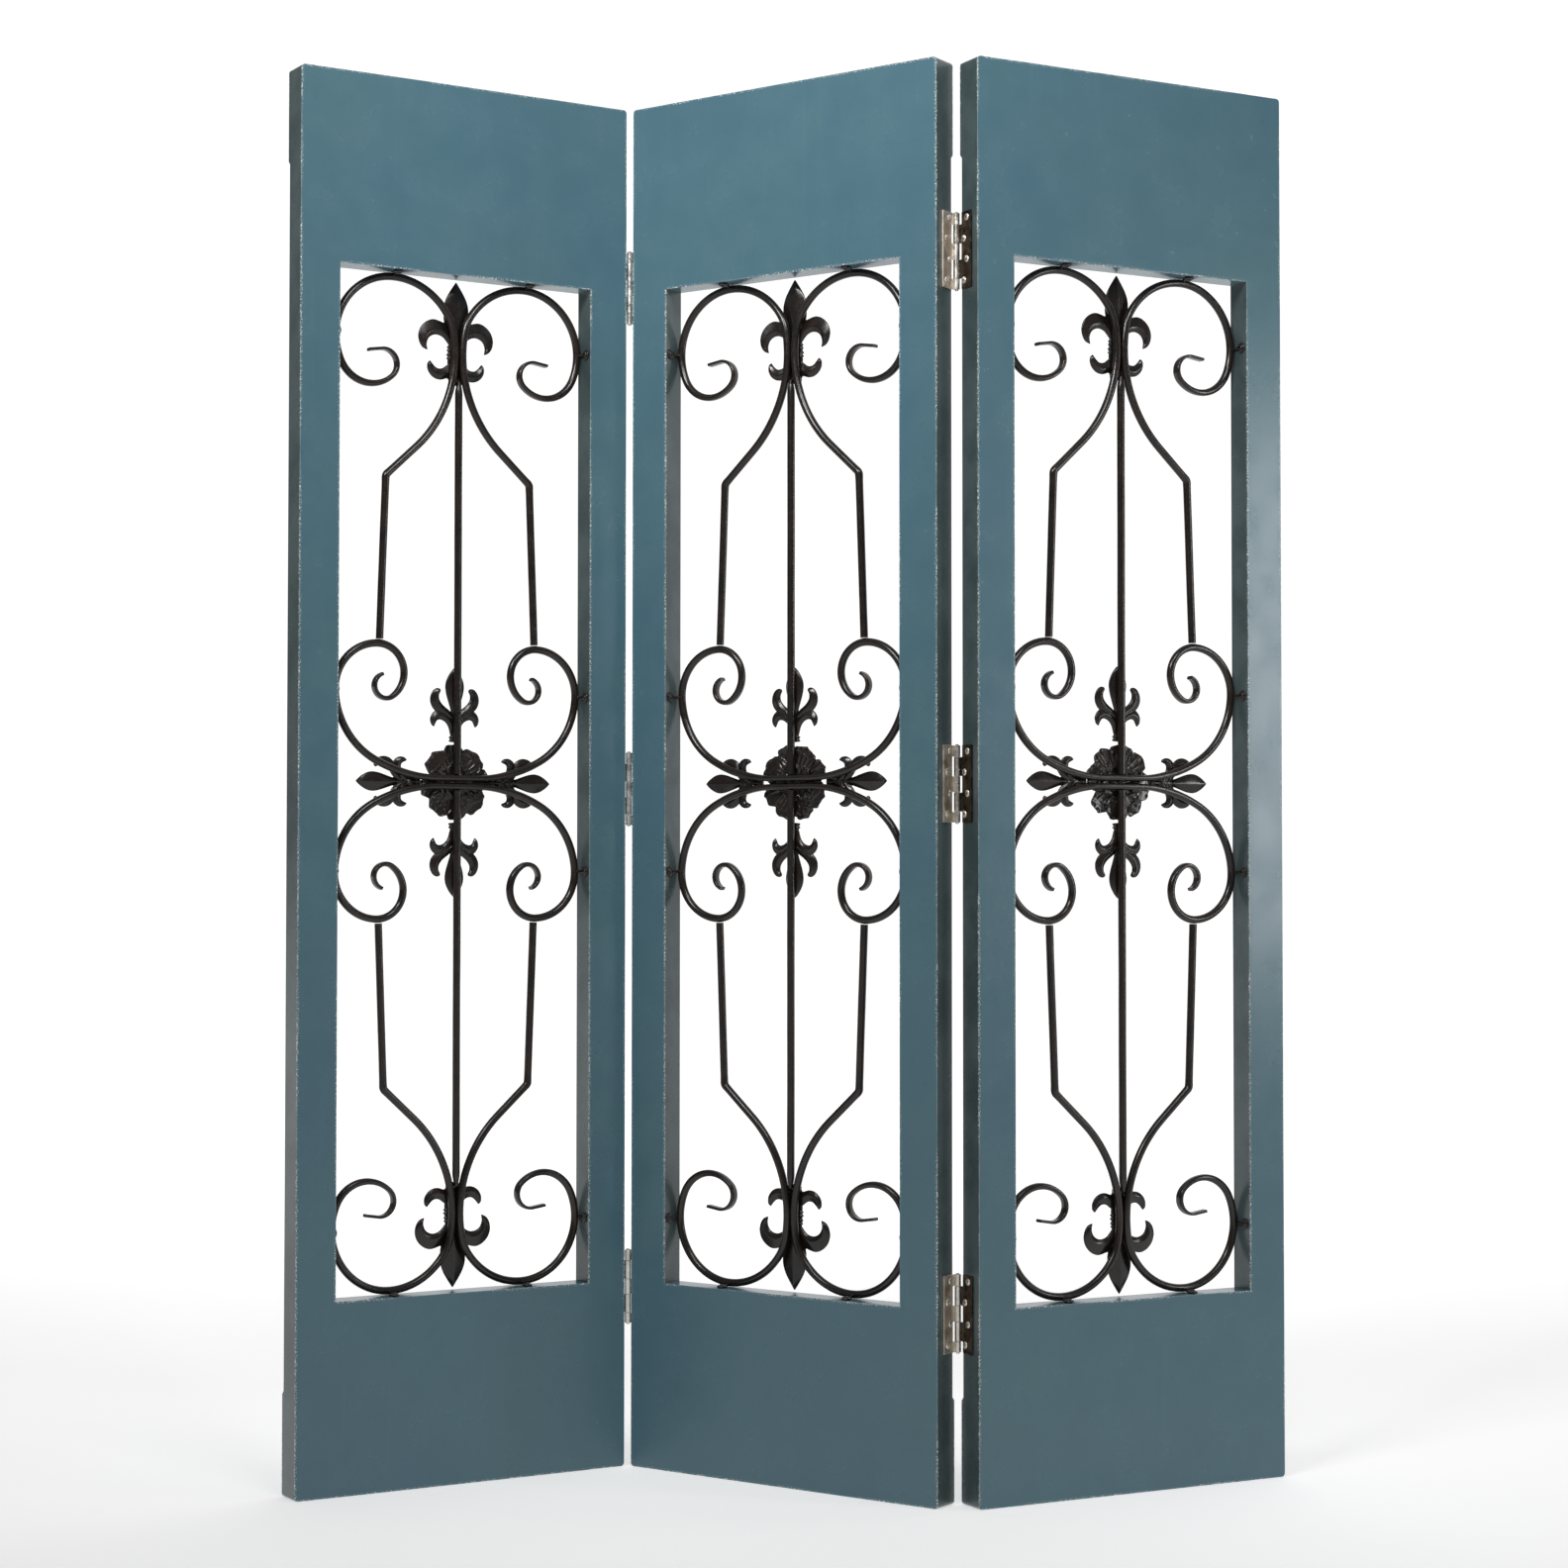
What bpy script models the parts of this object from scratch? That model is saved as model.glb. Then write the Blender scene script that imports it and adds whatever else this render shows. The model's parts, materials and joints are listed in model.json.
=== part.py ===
"""Three-panel folding screen: painted timber frames hung on butt hinges, each with an iron grille.

Panel frame of reference: x runs across the panel from its centre line, y runs from the plain face
(0) to the moulded face (PANEL_DEPTH), z runs up from the floor. The middle panel stays still. Each
side panel hangs from an empty that stands on its hinge axis.
"""
import math

import bmesh
import bpy
from mathutils import Matrix, Vector

# Panels
PANEL_HEIGHT = 1.830
PANEL_WIDTH = 0.478
PANEL_DEPTH = 0.0415
STILE_WIDTH = 0.0554
TOP_RAIL = 0.2505
BOTTOM_RAIL = 0.2478
CORNER_RADIUS = 0.005
JOINT_GAP = 0.0003
CHAMFER = 0.0045
CHAMFER_FROM = 0.130
CHAMFER_TO = 1.711
FLARE = 0.007

# How the folded screen stands
MIDDLE_AT = (-0.0177, -0.0161)
MIDDLE_YAW = math.radians(-35.9)
LEFT_YAW = math.radians(30.4)
RIGHT_YAW = math.radians(27.2)

# Hinges
AXIS_OFFSET = 0.0045
AXIS_PROUD = 0.0010
HINGE_HEIGHT = 0.098
HINGE_CENTRES = {"bottom": 0.240, "centre": 0.908, "top": 1.587}
LEAF_WIDTH = 0.0297
LEAF_THICKNESS = 0.0020
KNUCKLE_RADIUS = 0.0042
KNUCKLE_SHARES = (0.14, 0.25, 0.21, 0.25, 0.15)
PIN_RADIUS = 0.0023
BORE_RADIUS = 0.0027
HINGE_GAP = 0.0003
SLOT_END = 0.0080
SCREW_HEIGHTS = (-0.395, -0.127, 0.150, 0.420)
SCREW_ACROSS = (0.0200, 0.0135)

# Grille
ROD_RADIUS = 0.0051
ROD_DEPTH = 0.0280
ROD_SAG = 0.0018
OPENING_HALF = PANEL_WIDTH / 2 - STILE_WIDTH
MID_HEIGHT = (BOTTOM_RAIL + PANEL_HEIGHT - TOP_RAIL) / 2
OPENING_RISE = PANEL_HEIGHT - TOP_RAIL - MID_HEIGHT
CAST_BACK = ROD_DEPTH + ROD_RADIUS + 0.0003
CAST_FRONT = 0.0406
FLEUR_BASE = 0.5270
ROSETTE_RADIUS = 0.0470
LUG_DEPTH = 0.0100
LUG_RADIUS = 0.0065
SIDE_LUG_HIGH = 0.5795
SIDE_LUG_LOW = 0.1170
TOP_LUG_ACROSS = 0.0970

COLOURS = {
    "teal_paint": ((0.082, 0.157, 0.190, 1.0), 0.50, 0.0),
    "black_iron": ((0.020, 0.016, 0.014, 1.0), 0.45, 0.3),
    "hinge_metal": ((0.330, 0.265, 0.200, 1.0), 0.35, 1.0),
}


def clear_scene():
    for obj in list(bpy.data.objects):
        bpy.data.objects.remove(obj, do_unlink=True)


def new_collection(name):
    collection = bpy.data.collections.new(name)
    bpy.context.scene.collection.children.link(collection)
    return collection


def new_material(name, surface):
    """A material of the piece's own, so that it can be changed alone."""
    colour, roughness, metallic = COLOURS[surface]
    material = bpy.data.materials.new(name)
    material.use_nodes = True
    shader = material.node_tree.nodes["Principled BSDF"]
    shader.inputs["Base Color"].default_value = colour
    shader.inputs["Roughness"].default_value = roughness
    shader.inputs["Metallic"].default_value = metallic
    return material


def add_piece(name, mesh, parent, surface):
    obj = bpy.data.objects.new(name, mesh)
    PARTS.objects.link(obj)
    obj.parent = parent
    mesh.materials.clear()
    mesh.materials.append(new_material(name + "_" + surface, surface))
    return obj


def add_helper(name, mesh, parent=None):
    obj = bpy.data.objects.new(name, mesh)
    CUTTERS.objects.link(obj)
    obj.parent = parent
    obj.hide_render = True
    obj.display_type = "WIRE"
    return obj


def boolean(obj, other, operation):
    modifier = obj.modifiers.new(operation.lower() + "_" + other.name, "BOOLEAN")
    modifier.operation = operation
    modifier.solver = "EXACT"
    modifier.object = other


def mesh_from(bm, name):
    bmesh.ops.recalc_face_normals(bm, faces=bm.faces)
    mesh = bpy.data.meshes.new(name)
    bm.to_mesh(mesh)
    bm.free()
    return mesh


def evaluated_mesh(obj):
    """The object's mesh with its modifiers or bevel applied and its caps welded on."""
    graph = bpy.context.evaluated_depsgraph_get()
    mesh = bpy.data.meshes.new_from_object(obj.evaluated_get(graph))
    bm = bmesh.new()
    bm.from_mesh(mesh)
    bmesh.ops.remove_doubles(bm, verts=bm.verts, dist=0.000005)
    bmesh.ops.recalc_face_normals(bm, faces=bm.faces)
    bm.to_mesh(mesh)
    bm.free()
    return mesh


def add_prism(bm, outline, y0, y1):
    """A closed outline in x and z, carried from y0 to y1."""
    near = [bm.verts.new((x, y0, z)) for x, z in outline]
    far = [bm.verts.new((x, y1, z)) for x, z in outline]
    bm.faces.new(near)
    bm.faces.new(far[::-1])
    for k in range(len(near)):
        n = (k + 1) % len(near)
        bm.faces.new((near[k], far[k], far[n], near[n]))


def add_box(bm, low, high):
    centre = [(a + b) / 2 for a, b in zip(low, high)]
    size = [b - a for a, b in zip(low, high)]
    stretch = Matrix.Diagonal((*size, 1.0))
    bmesh.ops.create_cube(bm, size=1.0, matrix=Matrix.Translation(centre) @ stretch)


def add_cylinder(bm, centre, axis, radius, length, sides):
    turn = Vector((0.0, 0.0, 1.0)).rotation_difference(Vector(axis)).to_matrix().to_4x4()
    bmesh.ops.create_cone(
        bm, cap_ends=True, segments=sides, radius1=radius, radius2=radius, depth=length,
        matrix=Matrix.Translation(centre) @ turn,
    )


def cylinder_solid(centre, axis, radius, length, sides):
    bm = bmesh.new()
    add_cylinder(bm, centre, axis, radius, length, sides)
    return mesh_from(bm, "cylinder")


def box_solid(low, high):
    bm = bmesh.new()
    add_box(bm, low, high)
    return mesh_from(bm, "box")


# Timber frame


def stile_outline(side):
    """A stile seen from the front, with its two outer corners rounded."""
    inner = side * OPENING_HALF
    outer = side * PANEL_WIDTH / 2
    points = [(inner, 0.0)]
    for z, first in ((0.0, -90), (PANEL_HEIGHT, 0)):
        centre_z = z + (CORNER_RADIUS if z == 0.0 else -CORNER_RADIUS)
        for k in range(4):
            angle = math.radians(first + 30 * k)
            x = outer - side * CORNER_RADIUS * (1 - math.cos(angle))
            points.append((x, centre_z + CORNER_RADIUS * math.sin(angle)))
    points.append((inner, PANEL_HEIGHT))
    return points


def stopped_chamfer(parent, name, side):
    """A square bar on the moulded face's outer arris, run out to a point at each end."""
    bm = bmesh.new()
    x = side * PANEL_WIDTH / 2
    corners = ((1, 0), (0, 1), (-1, 0), (0, -1))
    rings = []
    for z in (CHAMFER_FROM + CHAMFER, CHAMFER_TO - CHAMFER):
        ring = [(x + CHAMFER * a, PANEL_DEPTH + CHAMFER * b, z) for a, b in corners]
        rings.append([bm.verts.new(corner) for corner in ring])
    foot = bm.verts.new((x, PANEL_DEPTH, CHAMFER_FROM))
    head = bm.verts.new((x, PANEL_DEPTH, CHAMFER_TO))
    for k in range(4):
        n = (k + 1) % 4
        bm.faces.new((rings[0][k], rings[0][n], rings[1][n], rings[1][k]))
        bm.faces.new((foot, rings[0][n], rings[0][k]))
        bm.faces.new((head, rings[1][k], rings[1][n]))
    return add_helper(name, mesh_from(bm, name), parent)


def opening_flare(parent, name):
    """A tapered block that chamfers the moulded face's opening all round, mitred at its corners."""
    bm = bmesh.new()
    rings = []
    for y in (PANEL_DEPTH - FLARE - 0.001, PANEL_DEPTH + 0.001):
        grow = y - (PANEL_DEPTH - FLARE)
        half = OPENING_HALF + grow
        rise = OPENING_RISE + grow
        corners = ((-half, -rise), (half, -rise), (half, rise), (-half, rise))
        rings.append([bm.verts.new((x, y, MID_HEIGHT + z)) for x, z in corners])
    bm.faces.new(rings[0])
    bm.faces.new(rings[1][::-1])
    for k in range(4):
        n = (k + 1) % 4
        bm.faces.new((rings[0][k], rings[1][k], rings[1][n], rings[0][n]))
    return add_helper(name, mesh_from(bm, name), parent)


def build_frame(panel, parent):
    flare = opening_flare(parent, panel + "_opening_flare")
    for side, label in ((-1, "left"), (1, "right")):
        name = f"{panel}_{label}_stile"
        bm = bmesh.new()
        add_prism(bm, stile_outline(side), 0.0, PANEL_DEPTH)
        stile = add_piece(name, mesh_from(bm, name), parent, "teal_paint")
        boolean(stile, stopped_chamfer(parent, name + "_chamfer", side), "DIFFERENCE")
        boolean(stile, flare, "DIFFERENCE")
    reach = OPENING_HALF - JOINT_GAP
    rails = {
        "top": (PANEL_HEIGHT - TOP_RAIL, PANEL_HEIGHT),
        "bottom": (0.0, BOTTOM_RAIL),
    }
    for label, (low, high) in rails.items():
        name = f"{panel}_{label}_rail"
        bm = bmesh.new()
        add_box(bm, (-reach, 0.0, low), (reach, PANEL_DEPTH, high))
        rail = add_piece(name, mesh_from(bm, name), parent, "teal_paint")
        boolean(rail, flare, "DIFFERENCE")


# Iron rods


def bent_path(start, heading, bends):
    """Points along a rod. Each bend is (radius, turn in degrees), or (0, length) where it is straight."""
    x, z = start
    heading = math.radians(heading)
    points = [(x, z)]
    for radius, amount in bends:
        if radius == 0:
            x += amount * math.cos(heading)
            z += amount * math.sin(heading)
            points.append((x, z))
            continue
        turn = math.radians(amount)
        steps = max(2, math.ceil(abs(turn) / (2 * math.acos(1 - ROD_SAG / radius))))
        side = math.copysign(1.0, turn)
        centre_x = x - side * radius * math.sin(heading)
        centre_z = z + side * radius * math.cos(heading)
        for k in range(1, steps + 1):
            angle = heading + turn * k / steps
            across = side * radius * math.sin(angle)
            along = side * radius * math.cos(angle)
            points.append((centre_x + across, centre_z - along))
        heading += turn
        x, z = points[-1]
    return points


def rod_mesh(name, points, thin_from=None, both_ends=False):
    """A round rod along the points, drawn down to a thin tail over its last points."""
    curve = bpy.data.curves.new(name, "CURVE")
    curve.dimensions = "3D"
    curve.bevel_depth = ROD_RADIUS
    curve.bevel_resolution = 1
    curve.use_fill_caps = True
    spline = curve.splines.new("POLY")
    spline.points.add(len(points) - 1)
    last = len(points) - 1
    for k, (x, z) in enumerate(points):
        spline.points[k].co = (x, ROD_DEPTH, z, 1.0)
        from_end = min(k, last - k) if both_ends else last - k
        if thin_from and from_end < thin_from:
            spline.points[k].radius = 0.45 + 0.55 * from_end / thin_from
    obj = bpy.data.objects.new(name, curve)
    CUTTERS.objects.link(obj)
    mesh = evaluated_mesh(obj)
    bpy.data.objects.remove(obj, do_unlink=True)
    bpy.data.curves.remove(curve)
    return mesh


def outer_scroll_points(side, up):
    """The big corner scroll: tail leg, shoulder, bell curve, ring and inner curl."""
    bends = (
        (0, 0.2115), (0.0082, 45.6), (0, 0.0566), (0.1697, -58.6), (0.0514, -19.0), (0.0932, -61.4),
        (0.0817, -113.0), (0.0461, -109.6), (0.0197, -144.7), (0, 0.0180),
    )
    points = bent_path((0.1135, 0.1850), 92.1, bends)
    return [(side * x, MID_HEIGHT + up * z) for x, z in points]


def mid_scroll_points(up):
    """The wide scroll that sweeps across the middle and curls in at both ends."""
    bends = ((0, 0.0286), (0.1974, 27.4), (0.1049, 60.1), (0.0604, 92.4), (0.0375, 147.2), (0.0163, 193.6))
    half = bent_path((0.0, 0.0057), 0.0, bends)
    whole = [(-x, z) for x, z in half[:0:-1]] + half
    return [(x, MID_HEIGHT + up * z) for x, z in whole]


def side_lug_solids(side, z):
    """A ring lug against a stile, a screw head on it and its neck running back to the rod."""
    face = OPENING_HALF - 0.0003
    low, high = sorted((side * (face - 0.0040), side * (face - 0.0002)))
    return [
        cylinder_solid((side * (face - 0.0011), LUG_DEPTH, z), (1, 0, 0), LUG_RADIUS, 0.0022, 8),
        cylinder_solid((side * (face - 0.0029), LUG_DEPTH, z), (1, 0, 0), 0.0040, 0.0022, 6),
        box_solid((low, LUG_DEPTH + 0.0050, z - 0.0026), (high, ROD_DEPTH, z + 0.0026)),
    ]


def rail_lug_solids(across, up):
    """The same lug turned against a rail."""
    face = OPENING_RISE - 0.0003
    z = MID_HEIGHT + up * (face - 0.0011)
    low, high = sorted((MID_HEIGHT + up * (face - 0.0056), MID_HEIGHT + up * (face - 0.0002)))
    return [
        cylinder_solid((across, LUG_DEPTH, z), (0, 0, 1), LUG_RADIUS, 0.0022, 8),
        cylinder_solid((across, LUG_DEPTH, z - up * 0.0018), (0, 0, 1), 0.0040, 0.0022, 6),
        box_solid((across - 0.0026, LUG_DEPTH + 0.0050, low), (across + 0.0026, ROD_DEPTH, high)),
    ]


def union_of(solids, name):
    """One mesh from solids that overlap."""
    base = add_helper(name, solids[0])
    others = [add_helper(f"{name}_{k}", mesh) for k, mesh in enumerate(solids[1:])]
    for other in others:
        boolean(base, other, "UNION")
    mesh = evaluated_mesh(base)
    for obj in [base, *others]:
        bpy.data.objects.remove(obj, do_unlink=True)
    mesh.name = name
    return mesh


# Castings, drawn flat in x and z with the foot at the origin


def horn(centre, radius, first, last, width, tip, steps=5):
    """A curled petal: an arc that narrows from its root to its tip."""
    inner = []
    outer = []
    for k in range(steps + 1):
        t = k / steps
        angle = math.radians(first + (last - first) * t)
        half = tip + (width - tip) * math.sqrt(1 - t * t)
        for edge, reach in ((inner, radius - half), (outer, radius + half)):
            edge.append((centre[0] + reach * math.cos(angle), centre[1] + reach * math.sin(angle)))
    return inner + outer[::-1]


def bud(low, wide, high, half, foot):
    """A pointed bud: narrow foot, widest at one height, drawn to a tip."""
    right = [(foot, low)]
    for k in range(1, 3):
        t = k / 2
        right.append((foot + (half - foot) * math.sin(t * math.pi / 2), low + (wide - low) * t))
    for k in range(1, 4):
        t = k / 3
        right.append((half * (1 - t ** 1.7) + 0.0006, wide + (high - wide) * t))
    return right + [(-x, z) for x, z in right[::-1]]


def mirrored(outline):
    return [(-x, z) for x, z in outline[::-1]]


def bar(half, low, high):
    return [(-half, low), (half, low), (half, high), (-half, high)]


def fleur_solids():
    """The large fleur-de-lis: flared foot, beaded waist, two pairs of curls and a bud."""
    petal = horn((0.0302, 0.0558), 0.0187, 172, -38, 0.0101, 0.0012)
    curl = horn((0.0256, 0.0265), 0.0139, 196, 375, 0.0079, 0.0012)
    shapes = [
        (bar(0.0120, 0.0, 0.0700), 0.0),
        (bud(0.0560, 0.0975, 0.1363, 0.0183, 0.0070), 0.0004),
        (petal, -0.0008),
        (mirrored(petal), -0.0008),
        (curl, -0.0012),
        (mirrored(curl), -0.0012),
        (bar(0.0146, 0.0345, 0.0390), -0.0005),
        (bar(0.0146, 0.0450, 0.0495), -0.0005),
    ]
    return [flat_solid(outline, CAST_BACK, CAST_FRONT + extra) for outline, extra in shapes]


def spray_solids(scale, let_in):
    """A small fleur: ribbed collar, stem, two pairs of curls and a bud, let into the rod by a little."""
    upper = horn((0.0146, 0.0586), 0.0154, -100, 52, 0.0064, 0.0030)
    lower = horn((0.0205, 0.0220), 0.0134, 175, -12, 0.0062, 0.0014)
    shapes = [
        (bar(0.0062, 0.0, 0.0520), -0.0010),
        (bar(0.0088, 0.0010, 0.0080), -0.0004),
        (bud(0.0400, 0.0730, 0.0980, 0.0139, 0.0055), 0.0),
        (upper, -0.0012),
        (mirrored(upper), -0.0012),
        (lower, -0.0016),
        (mirrored(lower), -0.0016),
    ]
    back = CAST_BACK - let_in
    solids = []
    for outline, extra in shapes:
        scaled = [(x * scale, z * scale) for x, z in outline]
        solids.append(flat_solid(scaled, back, CAST_FRONT - 0.0006 + extra))
    return solids


def flat_solid(outline, y0, y1):
    bm = bmesh.new()
    add_prism(bm, outline, y0, y1)
    return mesh_from(bm, "flat_solid")


def rosette_mesh():
    """Two stepped rings of petals, one turned against the other."""
    layers = ((1.0, 9, 0.0, 0.0052), (0.6, 6, 0.3, 0.0072))
    solids = []
    for scale, petals, turn, thickness in layers:
        outline = []
        for k in range(petals * 3):
            angle = turn + math.tau * k / (petals * 3)
            radius = ROSETTE_RADIUS * scale * (1 + 0.045 * math.cos(petals * (angle - turn)))
            outline.append((radius * math.cos(angle), radius * math.sin(angle)))
        solids.append(flat_solid(outline, CAST_BACK, CAST_BACK + thickness))
    return union_of(solids, "rosette")


def placed(mesh, matrix):
    copy = mesh.copy()
    copy.transform(matrix)
    return copy


def at(x, z, degrees):
    """Moves a flat casting to a point of the panel and turns it in the panel's own plane."""
    return Matrix.Translation((x, 0.0, z)) @ Matrix.Rotation(math.radians(-degrees), 4, "Y")


def build_grille(panel, parent, shared):
    for up, height in ((1, "upper"), (-1, "lower")):
        for side, label in ((-1, "left"), (1, "right")):
            name = f"{panel}_{height}_{label}_scroll"
            add_piece(name, shared[height + label].copy(), parent, "black_iron")

        name = f"{panel}_{height}_mid_scroll"
        add_piece(name, shared[height + "mid"].copy(), parent, "black_iron")

        name = f"{panel}_{height}_centre_rod"
        add_piece(name, shared[height + "rod"].copy(), parent, "black_iron")

        name = f"{panel}_{'top' if up > 0 else 'bottom'}_fleur"
        fleur = add_piece(name, shared["fleur"].copy(), parent, "black_iron")
        fleur.location = (0.0, 0.0, MID_HEIGHT + up * FLEUR_BASE)
        fleur.rotation_euler = (0.0, 0.0 if up > 0 else math.pi, 0.0)

    rosette = add_piece(f"{panel}_rosette", shared["rosette"].copy(), parent, "black_iron")
    rosette.location = (0.0, 0.0, MID_HEIGHT)


def shared_grille_meshes():
    """Each shape of the grille once, in the panel's frame of reference."""
    shared = {}
    upright = union_of(spray_solids(1.0, 0.0012), "spray")
    sideways = union_of(spray_solids(0.93, 0.0), "side_spray")
    for up, height in ((1, "upper"), (-1, "lower")):
        for side, label in ((-1, "left"), (1, "right")):
            rod = rod_mesh("scroll", outer_scroll_points(side, up), thin_from=6)
            lugs = side_lug_solids(side, MID_HEIGHT + up * SIDE_LUG_HIGH)
            lugs += rail_lug_solids(side * TOP_LUG_ACROSS, up)
            shared[height + label] = union_of([rod, *lugs], "outer_scroll")
        mid = rod_mesh("mid_scroll", mid_scroll_points(up), thin_from=4, both_ends=True)
        spray = placed(sideways, at(up * 0.0505, MID_HEIGHT, -90 * up))
        weld_at = (up * 0.0650, 0.0325, MID_HEIGHT + up * 0.0050)
        weld = cylinder_solid(weld_at, (0, 1, 0), 0.0020, 0.0060, 8)
        lugs = []
        for side in (-1, 1):
            lugs += side_lug_solids(side, MID_HEIGHT + up * SIDE_LUG_LOW)
        shared[height + "mid"] = union_of([mid, weld, spray, *lugs], "mid_scroll")
        ends = (0.0057 + ROD_RADIUS + 0.0004, FLEUR_BASE - 0.0090, FLEUR_BASE + 0.0030)
        rod = rod_mesh("centre_rod", [(0.0, MID_HEIGHT + up * z) for z in ends], thin_from=1)
        spray = placed(upright, at(0.0, MID_HEIGHT + up * 0.0530, 0 if up > 0 else 180))
        shared[height + "rod"] = union_of([rod, spray], "centre_rod")
    shared["fleur"] = union_of(fleur_solids(), "fleur")
    shared["rosette"] = rosette_mesh()
    return shared


# Hinges, drawn about their own axis: x away from the leaf's timber edge, y along the leaf


def knuckle_spans(own):
    """The heights of the knuckles that belong to one leaf: 0, 2, 4 or 1, 3."""
    spans = []
    z = -HINGE_HEIGHT / 2
    for k, share in enumerate(KNUCKLE_SHARES):
        top = z + share * HINGE_HEIGHT
        if k % 2 == own:
            low = z if k == 0 else z + HINGE_GAP / 2
            high = top if k == len(KNUCKLE_SHARES) - 1 else top - HINGE_GAP / 2
            spans.append((low, high))
        z = top
    return spans


def leaf_solids(own):
    """The plate, its knuckles, the straps that join them and four screw heads in a zigzag."""
    near = -AXIS_OFFSET + HINGE_GAP
    plate_face = near + LEAF_THICKNESS
    half = HINGE_HEIGHT / 2
    solids = [box_solid((near, SLOT_END, -half), (plate_face, LEAF_WIDTH, half))]
    for low, high in knuckle_spans(own):
        knuckle_at = (0, 0, (low + high) / 2)
        solids.append(cylinder_solid(knuckle_at, (0, 0, 1), KNUCKLE_RADIUS, high - low, 10))
        solids.append(box_solid((near, 0.0, low), (plate_face, SLOT_END + 0.0010, high)))
    for k, share in enumerate(SCREW_HEIGHTS):
        screw_at = (plate_face - 0.0004, SCREW_ACROSS[(k + own) % 2], share * HINGE_HEIGHT)
        solids.append(cylinder_solid(screw_at, (1, 0, 0), 0.0036, 0.0016, 6))
    return solids


def pin_leaf_mesh():
    """The leaf with three knuckles and the pin riveted through them."""
    pin = cylinder_solid((0.0, 0.0, -0.0010), (0, 0, 1), PIN_RADIUS, HINGE_HEIGHT + 0.0050, 8)
    return union_of([*leaf_solids(0), pin], "pin_leaf")


def bored_leaf_mesh():
    """The leaf with two knuckles, bored to turn on the pin."""
    leaf = add_helper("bored_leaf", union_of(leaf_solids(1), "bored_leaf"))
    bore = add_helper("bore", cylinder_solid((0, 0, 0), (0, 0, 1), BORE_RADIUS, HINGE_HEIGHT, 10))
    boolean(leaf, bore, "DIFFERENCE")
    mesh = evaluated_mesh(leaf)
    for obj in (leaf, bore):
        bpy.data.objects.remove(obj, do_unlink=True)
    return mesh


def build_hinges(label, axis, panels, leaves, facing):
    """Three hinges on one axis: the pinned leaf on the middle panel, the bored one on the side panel."""
    for level, z in HINGE_CENTRES.items():
        for key, parent in panels.items():
            name = f"{label}_hinge_{level}_{key}"
            leaf = add_piece(name, leaves[key].copy(), parent, "hinge_metal")
            mirror = -1.0 if (key == "pin_leaf") == (facing > 0) else 1.0
            leaf.data.transform(Matrix.Diagonal((mirror, float(facing), 1.0, 1.0)))
            if mirror * facing < 0:
                leaf.data.flip_normals()
            here = axis[key]
            leaf.location = (here[0], here[1], z)


# Standing the screen up


def turned(yaw, x, y):
    return Vector((x * math.cos(yaw) - y * math.sin(yaw), x * math.sin(yaw) + y * math.cos(yaw), 0.0))


def add_empty(name, location, yaw, parent=None):
    empty = bpy.data.objects.new(name, None)
    PARTS.objects.link(empty)
    empty.empty_display_size = 0.1
    empty.parent = parent
    empty.location = location
    empty.rotation_euler = (0.0, 0.0, yaw)
    return empty


def build_screen():
    edge = PANEL_WIDTH / 2 + AXIS_OFFSET
    far = PANEL_DEPTH + AXIS_PROUD
    middle = add_empty("middle_panel", (*MIDDLE_AT, 0.0), MIDDLE_YAW)
    left_axis = middle.location + turned(MIDDLE_YAW, -edge, -AXIS_PROUD)
    right_axis = middle.location + turned(MIDDLE_YAW, edge, far)
    left_fold = add_empty("left_fold_axis", left_axis, LEFT_YAW)
    right_fold = add_empty("right_fold_axis", right_axis, RIGHT_YAW)
    left = add_empty("left_panel", (-edge, AXIS_PROUD, 0.0), 0.0, left_fold)
    right = add_empty("right_panel", (edge, -far, 0.0), 0.0, right_fold)

    shared = shared_grille_meshes()
    for panel, parent in (("left", left), ("middle", middle), ("right", right)):
        build_frame(panel, parent)
        build_grille(panel, parent, shared)

    leaves = {"pin_leaf": pin_leaf_mesh(), "bored_leaf": bored_leaf_mesh()}
    build_hinges(
        "left", {"pin_leaf": (-edge, -AXIS_PROUD), "bored_leaf": (edge, -AXIS_PROUD)},
        {"pin_leaf": middle, "bored_leaf": left}, leaves, 1,
    )
    build_hinges(
        "right", {"pin_leaf": (edge, far), "bored_leaf": (-edge, far)},
        {"pin_leaf": middle, "bored_leaf": right}, leaves, -1,
    )


clear_scene()
PARTS = new_collection("fireplace_screen")
CUTTERS = new_collection("cutters")
build_screen()
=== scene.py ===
"""Looks for the three-panel folding screen: painted timber, forged rods, castings and plated hinges.

Every piece is drawn in its panel's own frame of reference, as in the CAD: x runs across the panel
from its centre line, y from the plain face (0) to the moulded face, z up from the floor. Castings
are drawn flat about their own foot, and hinge leaves about their own axis.
"""

import json
import math

import bmesh
import bpy
import numpy as np
from mathutils import Matrix, Vector, noise

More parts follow.
